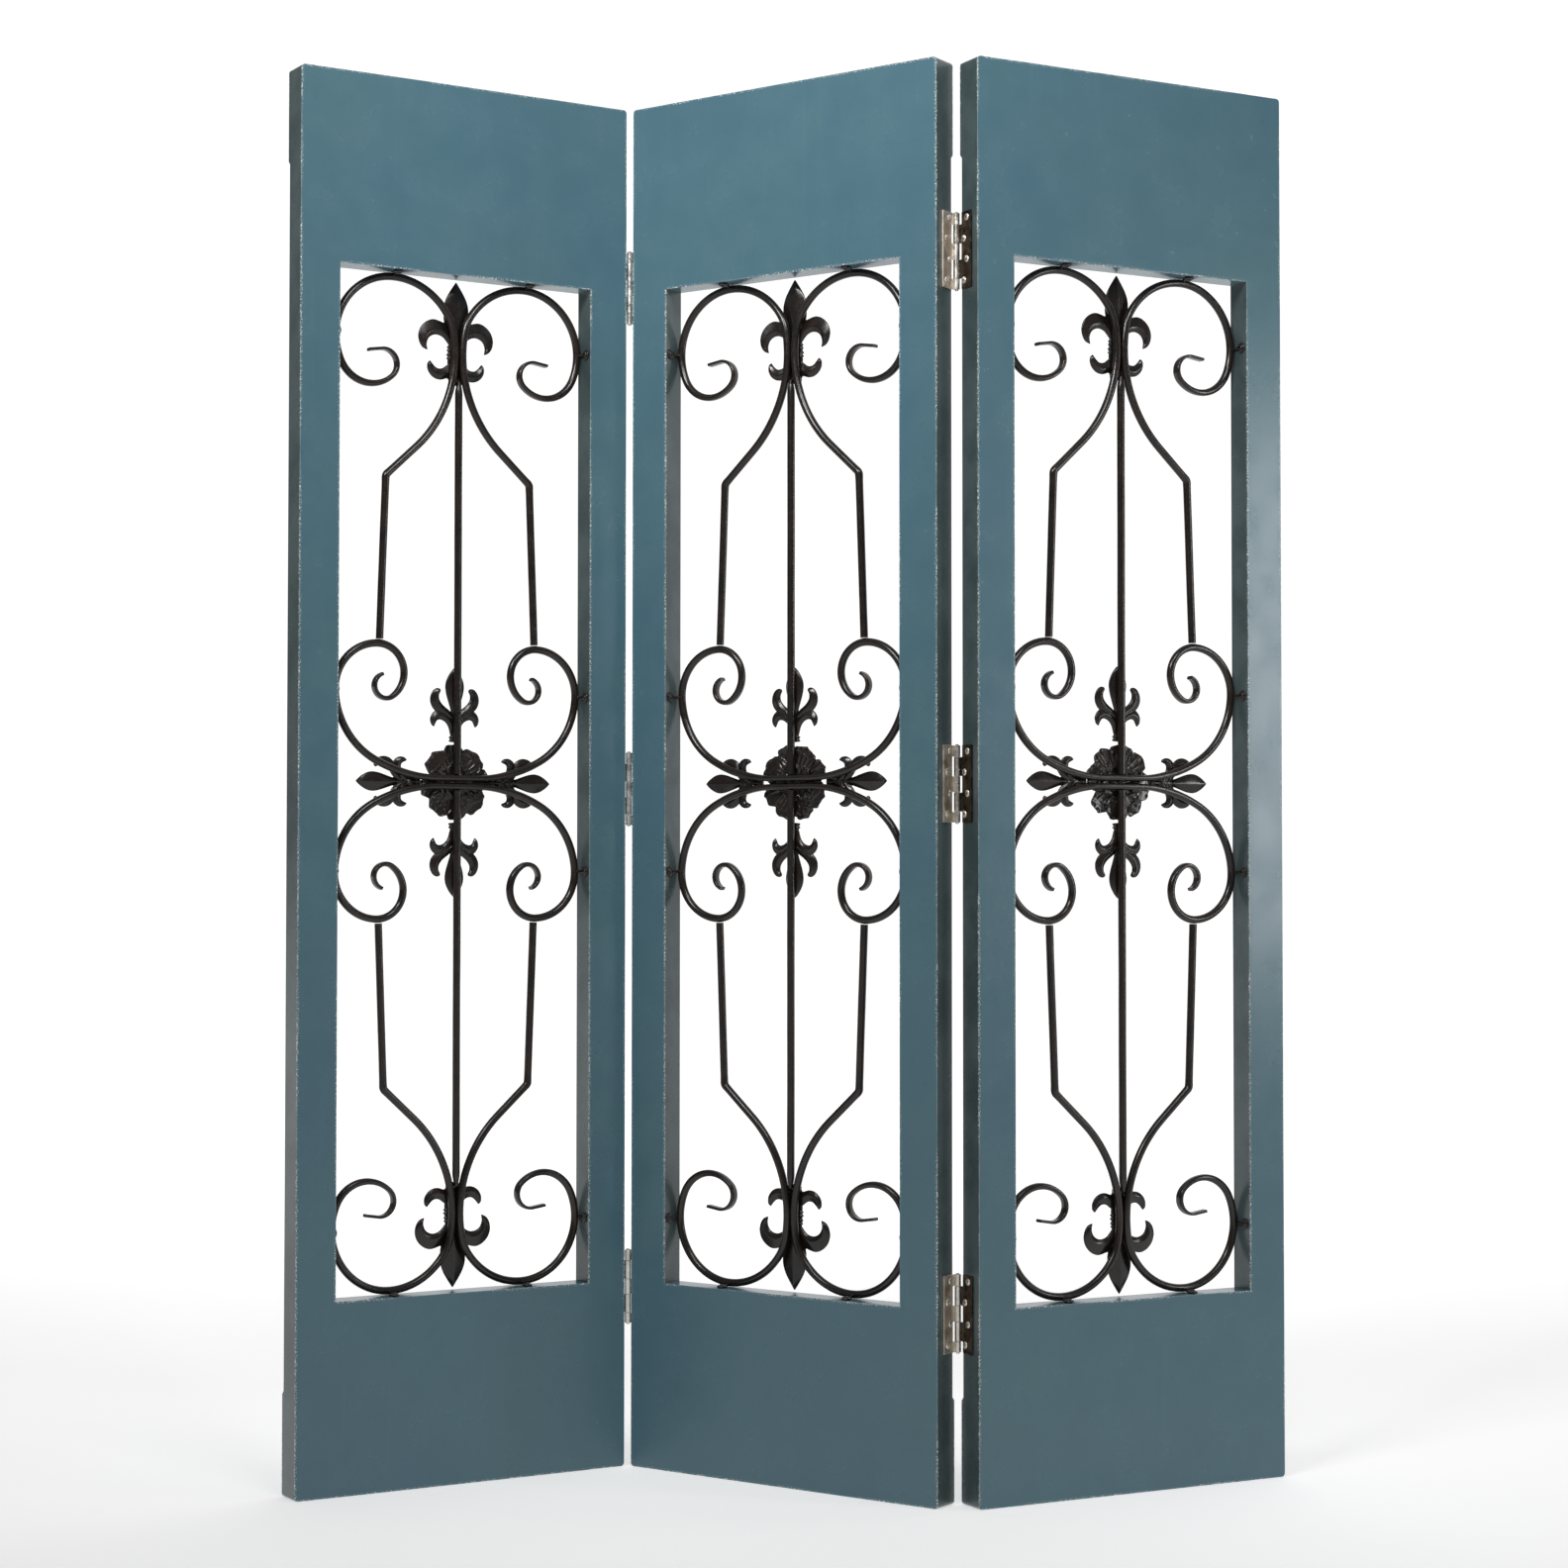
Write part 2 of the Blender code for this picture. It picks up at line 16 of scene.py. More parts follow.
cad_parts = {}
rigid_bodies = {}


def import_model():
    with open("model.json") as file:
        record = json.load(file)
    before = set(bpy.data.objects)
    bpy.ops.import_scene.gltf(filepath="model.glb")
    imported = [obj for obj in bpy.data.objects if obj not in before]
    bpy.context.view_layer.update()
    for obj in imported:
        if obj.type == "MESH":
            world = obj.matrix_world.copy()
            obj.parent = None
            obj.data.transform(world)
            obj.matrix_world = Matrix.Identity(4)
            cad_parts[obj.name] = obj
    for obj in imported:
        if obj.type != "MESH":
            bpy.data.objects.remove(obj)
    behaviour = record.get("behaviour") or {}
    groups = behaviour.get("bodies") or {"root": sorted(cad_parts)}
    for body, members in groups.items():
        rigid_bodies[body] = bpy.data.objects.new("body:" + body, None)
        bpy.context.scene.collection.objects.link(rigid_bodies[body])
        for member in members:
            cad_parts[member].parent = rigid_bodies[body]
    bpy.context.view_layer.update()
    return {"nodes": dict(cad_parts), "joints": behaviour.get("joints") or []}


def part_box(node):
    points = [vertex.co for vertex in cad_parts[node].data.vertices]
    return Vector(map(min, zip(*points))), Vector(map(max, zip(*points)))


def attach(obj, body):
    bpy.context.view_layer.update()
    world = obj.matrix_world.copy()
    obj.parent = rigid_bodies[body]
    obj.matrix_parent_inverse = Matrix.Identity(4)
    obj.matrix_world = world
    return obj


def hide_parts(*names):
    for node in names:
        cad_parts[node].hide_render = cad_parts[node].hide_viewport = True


PANELS = ("left", "middle", "right")
MM = 0.001
STILL = Matrix.Identity(4)


def mm(*sizes):
    return tuple(size * MM for size in sizes)


# Timber
CORNER_RADIUS = 5.0 * MM
CHAMFER = 4.5 * MM
CHAMFER_FROM = 130.0 * MM
CHAMFER_TO = 1711.0 * MM
FLARE = 7.0 * MM
ARRIS = 0.5 * MM
# An arris that runs into a joint has a corner this far beyond it, so that easing stops there
ARRIS_END = 1.0 * MM

# Rods
ROD_RADIUS = 5.1 * MM
ROD_DEPTH = 28.0 * MM
ROD_SIDES = 16
ROD_STEP = 4.0 * MM
# Where an outer scroll starts beside the middle, its heading in degrees, and where its shoulder is
OUTER_START = mm(113.5, 185.0)
OUTER_HEADING = 92.1
SHOULDER_AT = 214.5 * MM
# How far a mid scroll crosses from the middle
MID_RISE = 5.7 * MM

# Castings: how deep and how thick they are, and the grain at which their shapes melt together
CAST_DEPTH = 37.2 * MM
CAST_HALF = 3.8 * MM
PETAL_HALF = 1.0 * MM
VOXEL = 0.75 * MM
# How far from the middle each one's foot stands
FLEUR_BASE = 527.0 * MM
SPRAY_BASE = 53.0 * MM
SIDE_SPRAY_BASE = 50.5 * MM
SIDE_SPRAY_SCALE = 0.93

# Lugs
LUG_DEPTH = 10.0 * MM
SIDE_LUGS = mm(579.5, 117.0)
RAIL_LUG_ACROSS = 97.0 * MM
LUG_CLEAR = 0.3 * MM
LUG_SCREW_LIFT = 2.4 * MM

# Weld beads: how deep and how far across those on the lugs are, and their half sizes
WELD_DEPTH = 27.0 * MM
OUTER_WELD_ACROSS = 179.4 * MM
MID_WELD_ACROSS = 178.6 * MM
RAIL_WELD_DROP = 4.0 * MM
SIDE_WELD = mm(3.0, 4.2, 3.6)
RAIL_WELD = mm(3.6, 4.2, 3.0)
# Those on the rods, from the middle: on the sideways spray and at both ends of the centre rod
SPRAY_WELD_AT = mm(65.0, 33.0, 4.0)
SPRAY_WELD = mm(5.0, 2.6, 3.0)
ROOT_WELD_AT = (0.0, ROD_DEPTH + 2.0 * MM, 8.0 * MM)
ROOT_WELD = mm(5.6, 4.0, 2.6)
TIP_WELD_AT = (0.0, 33.2 * MM, FLEUR_BASE + 3.0 * MM)
TIP_WELD = mm(6.4, 3.0, 5.0)

# Screw heads: radius, dome and depth of the recess
LUG_SCREW = mm(4.1, 2.6, 1.5)
LEAF_SCREW = mm(4.5, 1.5, 1.5)

# Hinges
AXIS_OFFSET = 4.5 * MM
LEAF_WIDTH = 29.7 * MM
LEAF_THICKNESS = 2.0 * MM
LEAF_HEIGHT = 98.0 * MM
SLOT_END = 8.0 * MM
KNUCKLE_RADIUS = 4.2 * MM
KNUCKLE_SHARES = (0.14, 0.25, 0.21, 0.25, 0.15)
PIN_RADIUS = 2.3 * MM
HINGE_GAP = 0.3 * MM
HINGE_EASE = 0.35 * MM
TONGUE_END = 0.6 * MM
LEAF_BACK = HINGE_GAP - AXIS_OFFSET
LEAF_SCREW_SINK = 0.15 * MM
SCREW_HEIGHTS = (-0.395, -0.127, 0.150, 0.420)
SCREW_ACROSS = mm(20.0, 13.5)

# Paint (linear colours)
PAINT_BLUE = (0.064, 0.140, 0.182)
PAINT_GREEN = (0.070, 0.149, 0.180)
PAINT_PALE = (0.092, 0.178, 0.211)
PAINT_DEEP = (0.049, 0.116, 0.148)
EDGE_DARK = (0.045, 0.067, 0.070)
EDGE_PALE = (0.074, 0.102, 0.106)
# Pale primer where arrises are rubbed through, also used as a painted highlight along the arrises
PRIMER_AND_PAINTED_HIGHLIGHT = (0.330, 0.400, 0.405)
BARE = (0.72, 0.74, 0.70)

# Iron (linear colours)
IRON_BLACK = (0.0080, 0.0062, 0.0055)
IRON_BROWN = (0.0190, 0.0125, 0.0098)
IRON_DUST = (0.045, 0.036, 0.030)
# Finishes: noise seed, the lacquer's tone (on the rosette raised as painted light), how deep the hammer
# marks are, the least roughness
IRON_FINISHES = {
    "forged_iron": (0.0, 1.0, 1.0, 0.17),
    "cast_iron": (5.0, 0.9, 0.6, 0.17),
    "screw_black": (8.0, 0.8, 0.2, 0.12),
    # The rosette's iron is painted lighter than the other castings': painted light, so that its petals
    # still show where they face the dim front of the room
    "rose_iron_painted_light": (9.0, 1.2, 1.0, 0.15),
}

# Plating: its light tone (linear), the dark one that it clouds to, the least roughness
BARREL_PLATING = ((0.86, 0.84, 0.80), (0.60, 0.57, 0.52), 0.20)
SCREW_PLATING = ((0.95, 0.94, 0.90), (0.80, 0.78, 0.72), 0.30)
# The leaves' tones are painted light and shade: one metal painted pale on the pin leaves as a painted
# reflection and dark on the bored leaves as painted shade
LEAF_PAINTED_LIGHT_AND_SHADE = {
    "pin_leaf": ((0.92, 0.84, 0.72), (0.72, 0.62, 0.50), 0.36),
    "bored_leaf": ((0.110, 0.088, 0.068), (0.034, 0.026, 0.020), 0.22),
}

# Studio: half the floor's side and how far it lies below the feet
FLOOR_HALF = 30.0
FLOOR_DROP = 0.3 * MM
# Smooth steps (from, to, first level, last level): its glow by depth, the room's by direction
SWEEP_GLOW = ((-5.0, -0.45, 0.20, 0.46), (0.8, 3.5, 0.0, 0.30))
BACKDROP_TOWARDS = (0.50, 0.866, 0.0)
BACKDROP = (0.50, 0.72, 0.15, 1.08)
CEILING = (0.20, 0.95, 0.15, 0.36)
# Each area light: where it stands, what it points at, its size, its power and its spread
LIGHTS = {
    "key": ((-1.3, -2.2, 3.0), (-0.15, 0.0, 1.87), (1.0, 0.8), 9.8, 68.0),
    "second": ((0.5, -2.0, 3.1), (0.0, 0.0, 1.87), (1.0, 0.8), 5.6, 72.0),
    "side": ((3.0, -1.0, 1.2), (0.65, 0.1, 1.0), (0.30, 1.2), 2.6, 80.0),
}

# Camera: where it stands, how it tilts (degrees), its lens (mm) and its frame's shift
CAMERA_AT = (-0.1572, -4.0087, 0.7930)
CAMERA_PITCH = 1.687
CAMERA_ROLL = 0.089
CAMERA_LENS = 70.34
CAMERA_SHIFT = 0.0714


# ---- frame ----


def clear_scene():
    for obj in list(bpy.data.objects):
        bpy.data.objects.remove(obj, do_unlink=True)


def panel_matrix(rail):
    """The panel's place in the world, its thickness and its opening's half width, from its bottom rail."""
    feet = {(round(v.co.x, 5), round(v.co.y, 5)) for v in rail.data.vertices if v.co.z < 0.001}
    feet = np.array(sorted(feet))
    centre = feet.mean(axis=0)
    along = np.linalg.eigh(np.cov((feet - centre).T))[1][:, -1]
    along = along * math.copysign(1.0, along[0])
    inward = np.array((-along[1], along[0]))
    depth = np.ptp(feet @ inward)
    half = np.ptp(feet @ along) / 2
    origin = centre - inward * depth / 2
    yaw = math.atan2(along[1], along[0])
    place = Matrix.Translation((origin[0], origin[1], 0.0)) @ Matrix.Rotation(yaw, 4, "Z")
    return place, depth, half


clear_scene()
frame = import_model()

# The three panels are alike, so any one gives the depth and the rails' half width
PLACES = {}
for panel in PANELS:
    PLACES[panel], PANEL_DEPTH, RAIL_HALF = panel_matrix(frame["nodes"][panel + "_bottom_rail"])
# The CAD leaves this gap between a rail and a stile, and the drawn boards close it
JOINT_GAP = 0.3 * MM
OPENING_HALF = RAIL_HALF + JOINT_GAP
PANEL_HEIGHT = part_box("middle_left_stile")[1].z
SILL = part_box("middle_bottom_rail")[1].z
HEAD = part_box("middle_top_rail")[0].z
MID = (SILL + HEAD) / 2
OPENING_RISE = (HEAD - SILL) / 2
AXES = {joint["name"].split("_")[0]: Vector(joint["pos_m"]) for joint in frame["joints"]}
WIDTH_HALF = (PLACES["middle"].inverted() @ AXES["right"]).x - AXIS_OFFSET


# ---- materials ----


class Nodes:
    """Short calls for the nodes of a material or of the room: a socket is linked, any other value set."""

    def __init__(self, owner, shader="Principled BSDF"):
        owner.use_nodes = True
        self.tree = owner.node_tree
        self.shader = self.tree.nodes[shader]
        coordinates = self.tree.nodes.new("ShaderNodeTexCoord")
        self.place = coordinates.outputs["Object"]
        self.normal = coordinates.outputs["Normal"]
        self.direction = coordinates.outputs["Generated"]

    def put(self, node, key, value):
        if isinstance(value, bpy.types.NodeSocket):
            self.tree.links.new(value, node.inputs[key])
        else:
            node.inputs[key].default_value = value

    def finish(self, key, value):
        self.put(self.shader, key, value)

    def maths(self, operation, *values):
        node = self.tree.nodes.new("ShaderNodeMath")
        node.operation = operation
        for k, value in enumerate(values):
            self.put(node, k, value)
        return node.outputs[0]

    def gap(self, value, target):
        return self.maths("ABSOLUTE", self.maths("SUBTRACT", value, target))

    def scaled(self, stretch):
        node = self.tree.nodes.new("ShaderNodeMapping")
        self.put(node, "Vector", self.place)
        self.put(node, "Scale", stretch)
        return node.outputs[0]

    def noise(self, scale, seed, detail=3.0, rough=0.55, vector=None):
        node = self.tree.nodes.new("ShaderNodeTexNoise")
        node.noise_dimensions = "4D"
        self.put(node, "Vector", vector or self.place)
        self.put(node, "W", float(seed))
        self.put(node, "Scale", scale)
        self.put(node, "Detail", detail)
        self.put(node, "Roughness", rough)
        return node.outputs[0]

    def span(self, value, low, high, to_low=0.0, to_high=1.0):
        node = self.tree.nodes.new("ShaderNodeMapRange")
        node.interpolation_type = "SMOOTHSTEP"
        for key, given in (("Value", value), ("From Min", low), ("From Max", high),
                           ("To Min", to_low), ("To Max", to_high)):
            self.put(node, key, given)
        return node.outputs[0]

    def mix(self, share, first, second):
        node = self.tree.nodes.new("ShaderNodeMix")
        node.data_type = "RGBA"
        self.put(node, 0, share)
        for key, colour in ((6, first), (7, second)):
            self.put(node, key, (*colour, 1.0) if isinstance(colour, tuple) else colour)
        return node.outputs[2]

    def split(self, vector):
        node = self.tree.nodes.new("ShaderNodeSeparateXYZ")
        self.put(node, 0, vector)
        return node.outputs

    def bump(self, height, distance, strength, under=None):
        node = self.tree.nodes.new("ShaderNodeBump")
        self.put(node, "Height", height)
        self.put(node, "Distance", distance)
        self.put(node, "Strength", strength)
        if under:
            self.put(node, "Normal", under)
        return node.outputs[0]

    def arris_distance(self):
        """Distance to the nearest arris of the panel's frame, at its outside and round its opening."""
        x, y, z = self.split(self.place)
        x = self.maths("ABSOLUTE", x)
        across = self.maths("MINIMUM", self.maths("ABSOLUTE", y), self.gap(y, PANEL_DEPTH))
        beside = self.maths("MAXIMUM", self.maths("SUBTRACT", x, OPENING_HALF), 0.0)
        above = self.maths("MAXIMUM", self.maths("SUBTRACT", self.gap(z, MID), OPENING_RISE), 0.0)
        beside = self.maths("POWER", beside, 2.0)
        above = self.maths("POWER", above, 2.0)
        opening = self.maths("MAXIMUM", self.maths("SQRT", self.maths("ADD", beside, above)), across)
        side = self.gap(x, WIDTH_HALF)
        end = self.maths("MINIMUM", self.maths("ABSOLUTE", z), self.gap(z, PANEL_HEIGHT))
        least = self.maths("MINIMUM", self.maths("MINIMUM", side, end), across)
        most = self.maths("MAXIMUM", self.maths("MAXIMUM", side, end), across)
        total = self.maths("ADD", self.maths("ADD", side, end), across)
        outside = self.maths("SUBTRACT", self.maths("SUBTRACT", total, least), most)
        return self.maths("MINIMUM", opening, outside)


def paint_material(name, seed):
    """Teal satin paint: clouded and finely mottled, greyer on the edges, chipped at arrises, and pale
    along them with rubbed primer and a painted highlight.
    """
    material = bpy.data.materials.new(name)
    n = Nodes(material)
    brushed = n.scaled((1.0, 1.0, 0.07))
    cloud = n.noise(3.2, seed, 4.0, 0.6)
    mottle = n.noise(17.0, seed + 3, 4.0, 0.52)
    leather = n.noise(120.0, seed + 4, 3.0, 0.6)
    streak = n.noise(60.0, seed + 5, 3.0, 0.6, brushed)
    colour = n.mix(n.span(cloud, 0.34, 0.66), PAINT_BLUE, PAINT_GREEN)
    colour = n.mix(n.span(mottle, 0.40, 0.72, 0.0, 0.15), colour, PAINT_PALE)
    colour = n.mix(n.span(mottle, 0.58, 0.28, 0.0, 0.20), colour, PAINT_DEEP)
    colour = n.mix(n.span(leather, 0.54, 0.74, 0.0, 0.35), colour, PAINT_DEEP)
    colour = n.mix(n.span(streak, 0.55, 0.75, 0.0, 0.22), colour, PAINT_PALE)

    facing = n.split(n.normal)
    side_tone = n.mix(n.span(n.noise(14.0, seed + 9, 4.0), 0.35, 0.65), EDGE_DARK, EDGE_PALE)
    colour = n.mix(n.span(n.maths("ABSOLUTE", facing[0]), 0.55, 0.95), colour, side_tone)

    # A pale line along every arris: partly rubbed-through primer, partly a painted highlight where the
    # eased arris catches the light
    edge = n.arris_distance()
    rub_and_highlight_noise = n.noise(70.0, seed + 11, 4.0, 0.7)
    reach = n.span(rub_and_highlight_noise, 0.36, 0.70, 0.5 * MM, 1.9 * MM)
    arris_rub_and_painted_highlight = n.maths("SUBTRACT", 1.0, n.span(edge, 0.1 * MM, reach))
    colour = n.mix(n.maths("MULTIPLY", arris_rub_and_painted_highlight, 0.50), colour, PRIMER_AND_PAINTED_HIGHLIGHT)
    speck = n.span(n.noise(480.0, seed + 13, 2.0, 0.6), 0.53, 0.60)
    patch = n.span(n.noise(7.0, seed + 15, 2.0), 0.40, 0.54)
    by_edge = n.maths("SUBTRACT", 1.0, n.span(edge, 0.7 * MM, 3.6 * MM))
    chips = n.maths("MULTIPLY", n.maths("MULTIPLY", speck, patch), by_edge)
    colour = n.mix(n.maths("MULTIPLY", chips, 0.9), colour, BARE)
    n.finish("Base Color", colour)

    n.finish("Roughness", n.span(mottle, 0.26, 0.74, 0.22, 0.29))
    n.finish("Specular IOR Level", 0.5)
    skin = n.bump(leather, 0.05 * MM, 0.6)
    skin = n.bump(streak, 0.05 * MM, 0.5, skin)
    chipped = n.bump(n.maths("SUBTRACT", 0.0, chips), 0.15 * MM, 0.6, skin)
    n.finish("Normal", n.bump(cloud, 0.8 * MM, 0.12, chipped))
    return material


def iron_material(name, seed, tone, hammer, satin):
    """Near-black lacquer on forged iron: brown where thin, dimpled by the hammer, dusty in places."""
    material = bpy.data.materials.new(name)
    n = Nodes(material)
    broad = n.noise(30.0, seed, 4.0, 0.6)
    dimple = n.noise(190.0, seed + 2, 2.0, 0.5)
    grit = n.noise(1500.0, seed + 4, 2.0, 0.6)
    black = tuple(tone * c for c in IRON_BLACK)
    brown = tuple(tone * c for c in IRON_BROWN)
    colour = n.mix(n.span(broad, 0.35, 0.68), black, brown)
    colour = n.mix(n.span(grit, 0.62, 0.82, 0.0, 0.4), colour, IRON_DUST)
    n.finish("Base Color", colour)
    n.finish("Roughness", n.span(dimple, 0.30, 0.72, satin, satin + 0.10))
    n.finish("Specular IOR Level", 0.5)
    dimpled = n.bump(dimple, 0.10 * MM * hammer, 0.5)
    n.finish("Normal", n.bump(grit, 0.02 * MM, 0.4, dimpled))
    return material


def metal_material(name, seed, light, dark, rough):
    """Plated steel: a warm tone that clouds to a darker one, with fine rubbing marks along it."""
    material = bpy.data.materials.new(name)
    n = Nodes(material)
    cloud = n.noise(70.0, seed, 5.0, 0.65)
    rubbed = n.noise(900.0, seed + 2, 2.0, 0.5, n.scaled((1.0, 1.0, 0.12)))
    colour = n.mix(n.span(cloud, 0.34, 0.66), dark, light)
    colour = n.mix(n.span(rubbed, 0.58, 0.78, 0.0, 0.4), colour, tuple(min(1.0, c * 1.4) for c in light))
    n.finish("Base Color", colour)
    n.finish("Metallic", 1.0)
    n.finish("Roughness", n.span(cloud, 0.30, 0.70, rough, rough + 0.16))
    n.finish("Normal", n.bump(rubbed, 0.02 * MM, 0.5))
    return material


# ---- mesh tools ----


def add_object(name, data):
    obj = bpy.data.objects.new(name, data)
    bpy.context.scene.collection.objects.link(obj)
    return obj


def new_piece(name, mesh, panel, material, replaced=()):
    """A named piece that stands in its panel, rides on its body and shows one finish."""
    mesh.name = name
    mesh.materials.clear()
    mesh.materials.append(material)
    obj = add_object(name, mesh)
    obj.matrix_world = PLACES[panel]
    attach(obj, panel + "_panel")
    if replaced:
        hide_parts(*replaced)


def mesh_from(bm, name="mesh", smooth=True):
    bmesh.ops.recalc_face_normals(bm, faces=bm.faces)
    mesh = bpy.data.meshes.new(name)
    bm.to_mesh(mesh)
    bm.free()
    if smooth:
        mesh.shade_smooth()
    return mesh


def sharpen(mesh, degrees):
    """Smooth shading that keeps the edges over an angle crisp."""
    mesh.shade_smooth()
    mesh.set_sharp_from_angle(angle=math.radians(degrees))
    return mesh


def flattened(mesh):
    """Shading that follows the broad faces, so that eased edges don't bend the light on them."""
    settings = {"mode": "FACE_AREA", "weight": 100, "keep_sharp": True}
    return with_modifiers(mesh, ("WEIGHTED_NORMAL", settings))


def with_modifiers(mesh, *settings):
    """The mesh after a stack of modifiers, each (type, its settings)."""
    obj = add_object("workpiece", mesh)
    for kind, values in settings:
        modifier = obj.modifiers.new(kind.lower(), kind)
        for key, value in values.items():
            setattr(modifier, key, value)
    graph = bpy.context.evaluated_depsgraph_get()
    made = bpy.data.meshes.new_from_object(obj.evaluated_get(graph))
    bpy.data.objects.remove(obj, do_unlink=True)
    return made


def cut_by(mesh, *cutters):
    """The mesh less each cutter mesh."""
    helpers = [add_object("cutter", cutter) for cutter in cutters]
    settings = {"operation": "DIFFERENCE", "solver": "EXACT"}
    made = with_modifiers(mesh, *[("BOOLEAN", {**settings, "object": helper}) for helper in helpers])
    for helper in helpers:
        bpy.data.objects.remove(helper, do_unlink=True)
    return made


def joined(parts, name):
    """One mesh from (mesh, matrix) pairs, with mirrored ones turned the right way out."""
    bm = bmesh.new()
    for mesh, matrix in parts:
        copy = mesh.copy()
        copy.transform(matrix)
        if matrix.determinant() < 0:
            copy.flip_normals()
        bm.from_mesh(copy)
        bpy.data.meshes.remove(copy)
    mesh = bpy.data.meshes.new(name)
    bm.to_mesh(mesh)
    bm.free()
    return mesh


def add_prism(bm, near, far):
    """A solid between two outlines with as many corners."""
    near = [bm.verts.new(point) for point in near]
    far = [bm.verts.new(point) for point in far]
    bm.faces.new(near)
    bm.faces.new(far[::-1])
    for k in range(len(near)):
        n = (k + 1) % len(near)
        bm.faces.new((near[k], far[k], far[n], near[n]))


def box_mesh(low, high):
    centre = [(a + b) / 2 for a, b in zip(low, high)]
    size = [b - a for a, b in zip(low, high)]
    place = Matrix.Translation(centre) @ Matrix.Diagonal((*size, 1.0))
    bm = bmesh.new()
    bmesh.ops.create_cube(bm, size=1.0, matrix=place)
    return mesh_from(bm)


def loft(bm, rings, closed=False):
    """Skin over rings of points, with a cap on each end or joined end to end."""
    made = [[bm.verts.new(point) for point in ring] for ring in rings]
    count = len(made[0])
    last = len(made) if closed else len(made) - 1
    for k in range(last):
        ring = made[k]
        after = made[(k + 1) % len(made)]
        for i in range(count):
            j = (i + 1) % count
            bm.faces.new((ring[i], ring[j], after[j], after[i]))
    if not closed:
        bm.faces.new(made[0][::-1])
        bm.faces.new(made[-1])


def lofted(rings):
    bm = bmesh.new()
    loft(bm, rings)
    return mesh_from(bm)


def turns(count, first=0.0):
    """Angles evenly spread round a circle."""
    return [math.tau * (k + first) / count for k in range(count)]


def circle(radius, count):
    return [(radius * math.cos(angle), radius * math.sin(angle)) for angle in turns(count)]


def turned_solid(profile, sides):
    """A lathe-turned solid about z from (radius, height) pairs, bottom to top."""
    rings = [[(x, y, height) for x, y in circle(radius, sides)] for radius, height in profile]
    return sharpen(lofted(rings), 40.0)


def smooth_run(points, count):
    """Evenly spread points on a smooth curve through the given ones."""
    points = np.array(points, float)
    ends = np.vstack((2 * points[0] - points[1], points, 2 * points[-1] - points[-2]))
    dense = []
    for k in range(1, len(ends) - 2):
        p0, p1, p2, p3 = ends[k - 1:k + 3]
        for t in np.linspace(0.0, 1.0, 12, endpoint=False):
            dense.append(0.5 * (2 * p1 + (p2 - p0) * t + (2 * p0 - 5 * p1 + 4 * p2 - p3) * t * t
                                + (3 * p1 - p0 - 3 * p2 + p3) * t ** 3))
    dense.append(ends[-2])
    dense = np.array(dense)
    lengths = np.concatenate(([0.0], np.cumsum(np.linalg.norm(np.diff(dense, axis=0), axis=1))))
    wanted = np.linspace(0.0, lengths[-1], count)
    return np.stack([np.interp(wanted, lengths, dense[:, axis]) for axis in range(dense.shape[1])], axis=1)


def ease(value, low, high):
    t = min(1.0, max(0.0, (value - low) / (high - low)))
    return t * t * (3 - 2 * t)


# ---- timber ----


def stile_mesh(side):
    """A stile with rounded outer corners, a stopped chamfer and its share of the opening's chamfer."""
    inner = side * OPENING_HALF
    outer = side * WIDTH_HALF
    outline = [(inner, 0.0)]
    for base, first in ((0.0, -90), (PANEL_HEIGHT, 0)):
        centre = base + (CORNER_RADIUS if base == 0.0 else -CORNER_RADIUS)
        for k in range(9):
            angle = math.radians(first + 90 * k / 8)
            x = outer - side * CORNER_RADIUS * (1 - math.cos(angle))
            outline.append((x, centre + CORNER_RADIUS * math.sin(angle)))
    outline += [(inner, z) for z in (PANEL_HEIGHT, HEAD + ARRIS_END, HEAD, SILL, SILL - ARRIS_END)]
    bm = bmesh.new()
    add_prism(bm, [(x, 0.0, z) for x, z in outline], [(x, PANEL_DEPTH, z) for x, z in outline])
    return eased(cut_by(mesh_from(bm), stopped_chamfer_mesh(side), opening_flare_mesh()))


def rail_mesh(low, high):
    board = box_mesh((-OPENING_HALF, 0.0, low), (OPENING_HALF, PANEL_DEPTH, high))
    return eased(cut_by(board, opening_flare_mesh()))


def in_joint(edge):
    """Whether an edge lies in the glued joint of a stile and a rail, where it stays square."""
    if any(abs(abs(v.co.x) - OPENING_HALF) > 0.05 * MM for v in edge.verts):
        return False
    middle = (edge.verts[0].co.z + edge.verts[1].co.z) / 2
    return abs(middle - MID) > OPENING_RISE + 0.1 * MM


def eased(board):
    """The board with its open arrises lightly sanded round."""
    bm = bmesh.new()
    bm.from_mesh(board)
    bmesh.ops.remove_doubles(bm, verts=bm.verts, dist=0.02 * MM)
    least = math.radians(28)
    sharp = [edge for edge in bm.edges if edge.calc_face_angle(0.0) > least and not in_joint(edge)]
    bmesh.ops.bevel(
        bm, geom=sharp, offset=ARRIS, segments=3, profile=0.5, affect="EDGES", clamp_overlap=True)
    return flattened(sharpen(mesh_from(bm), 50.0))


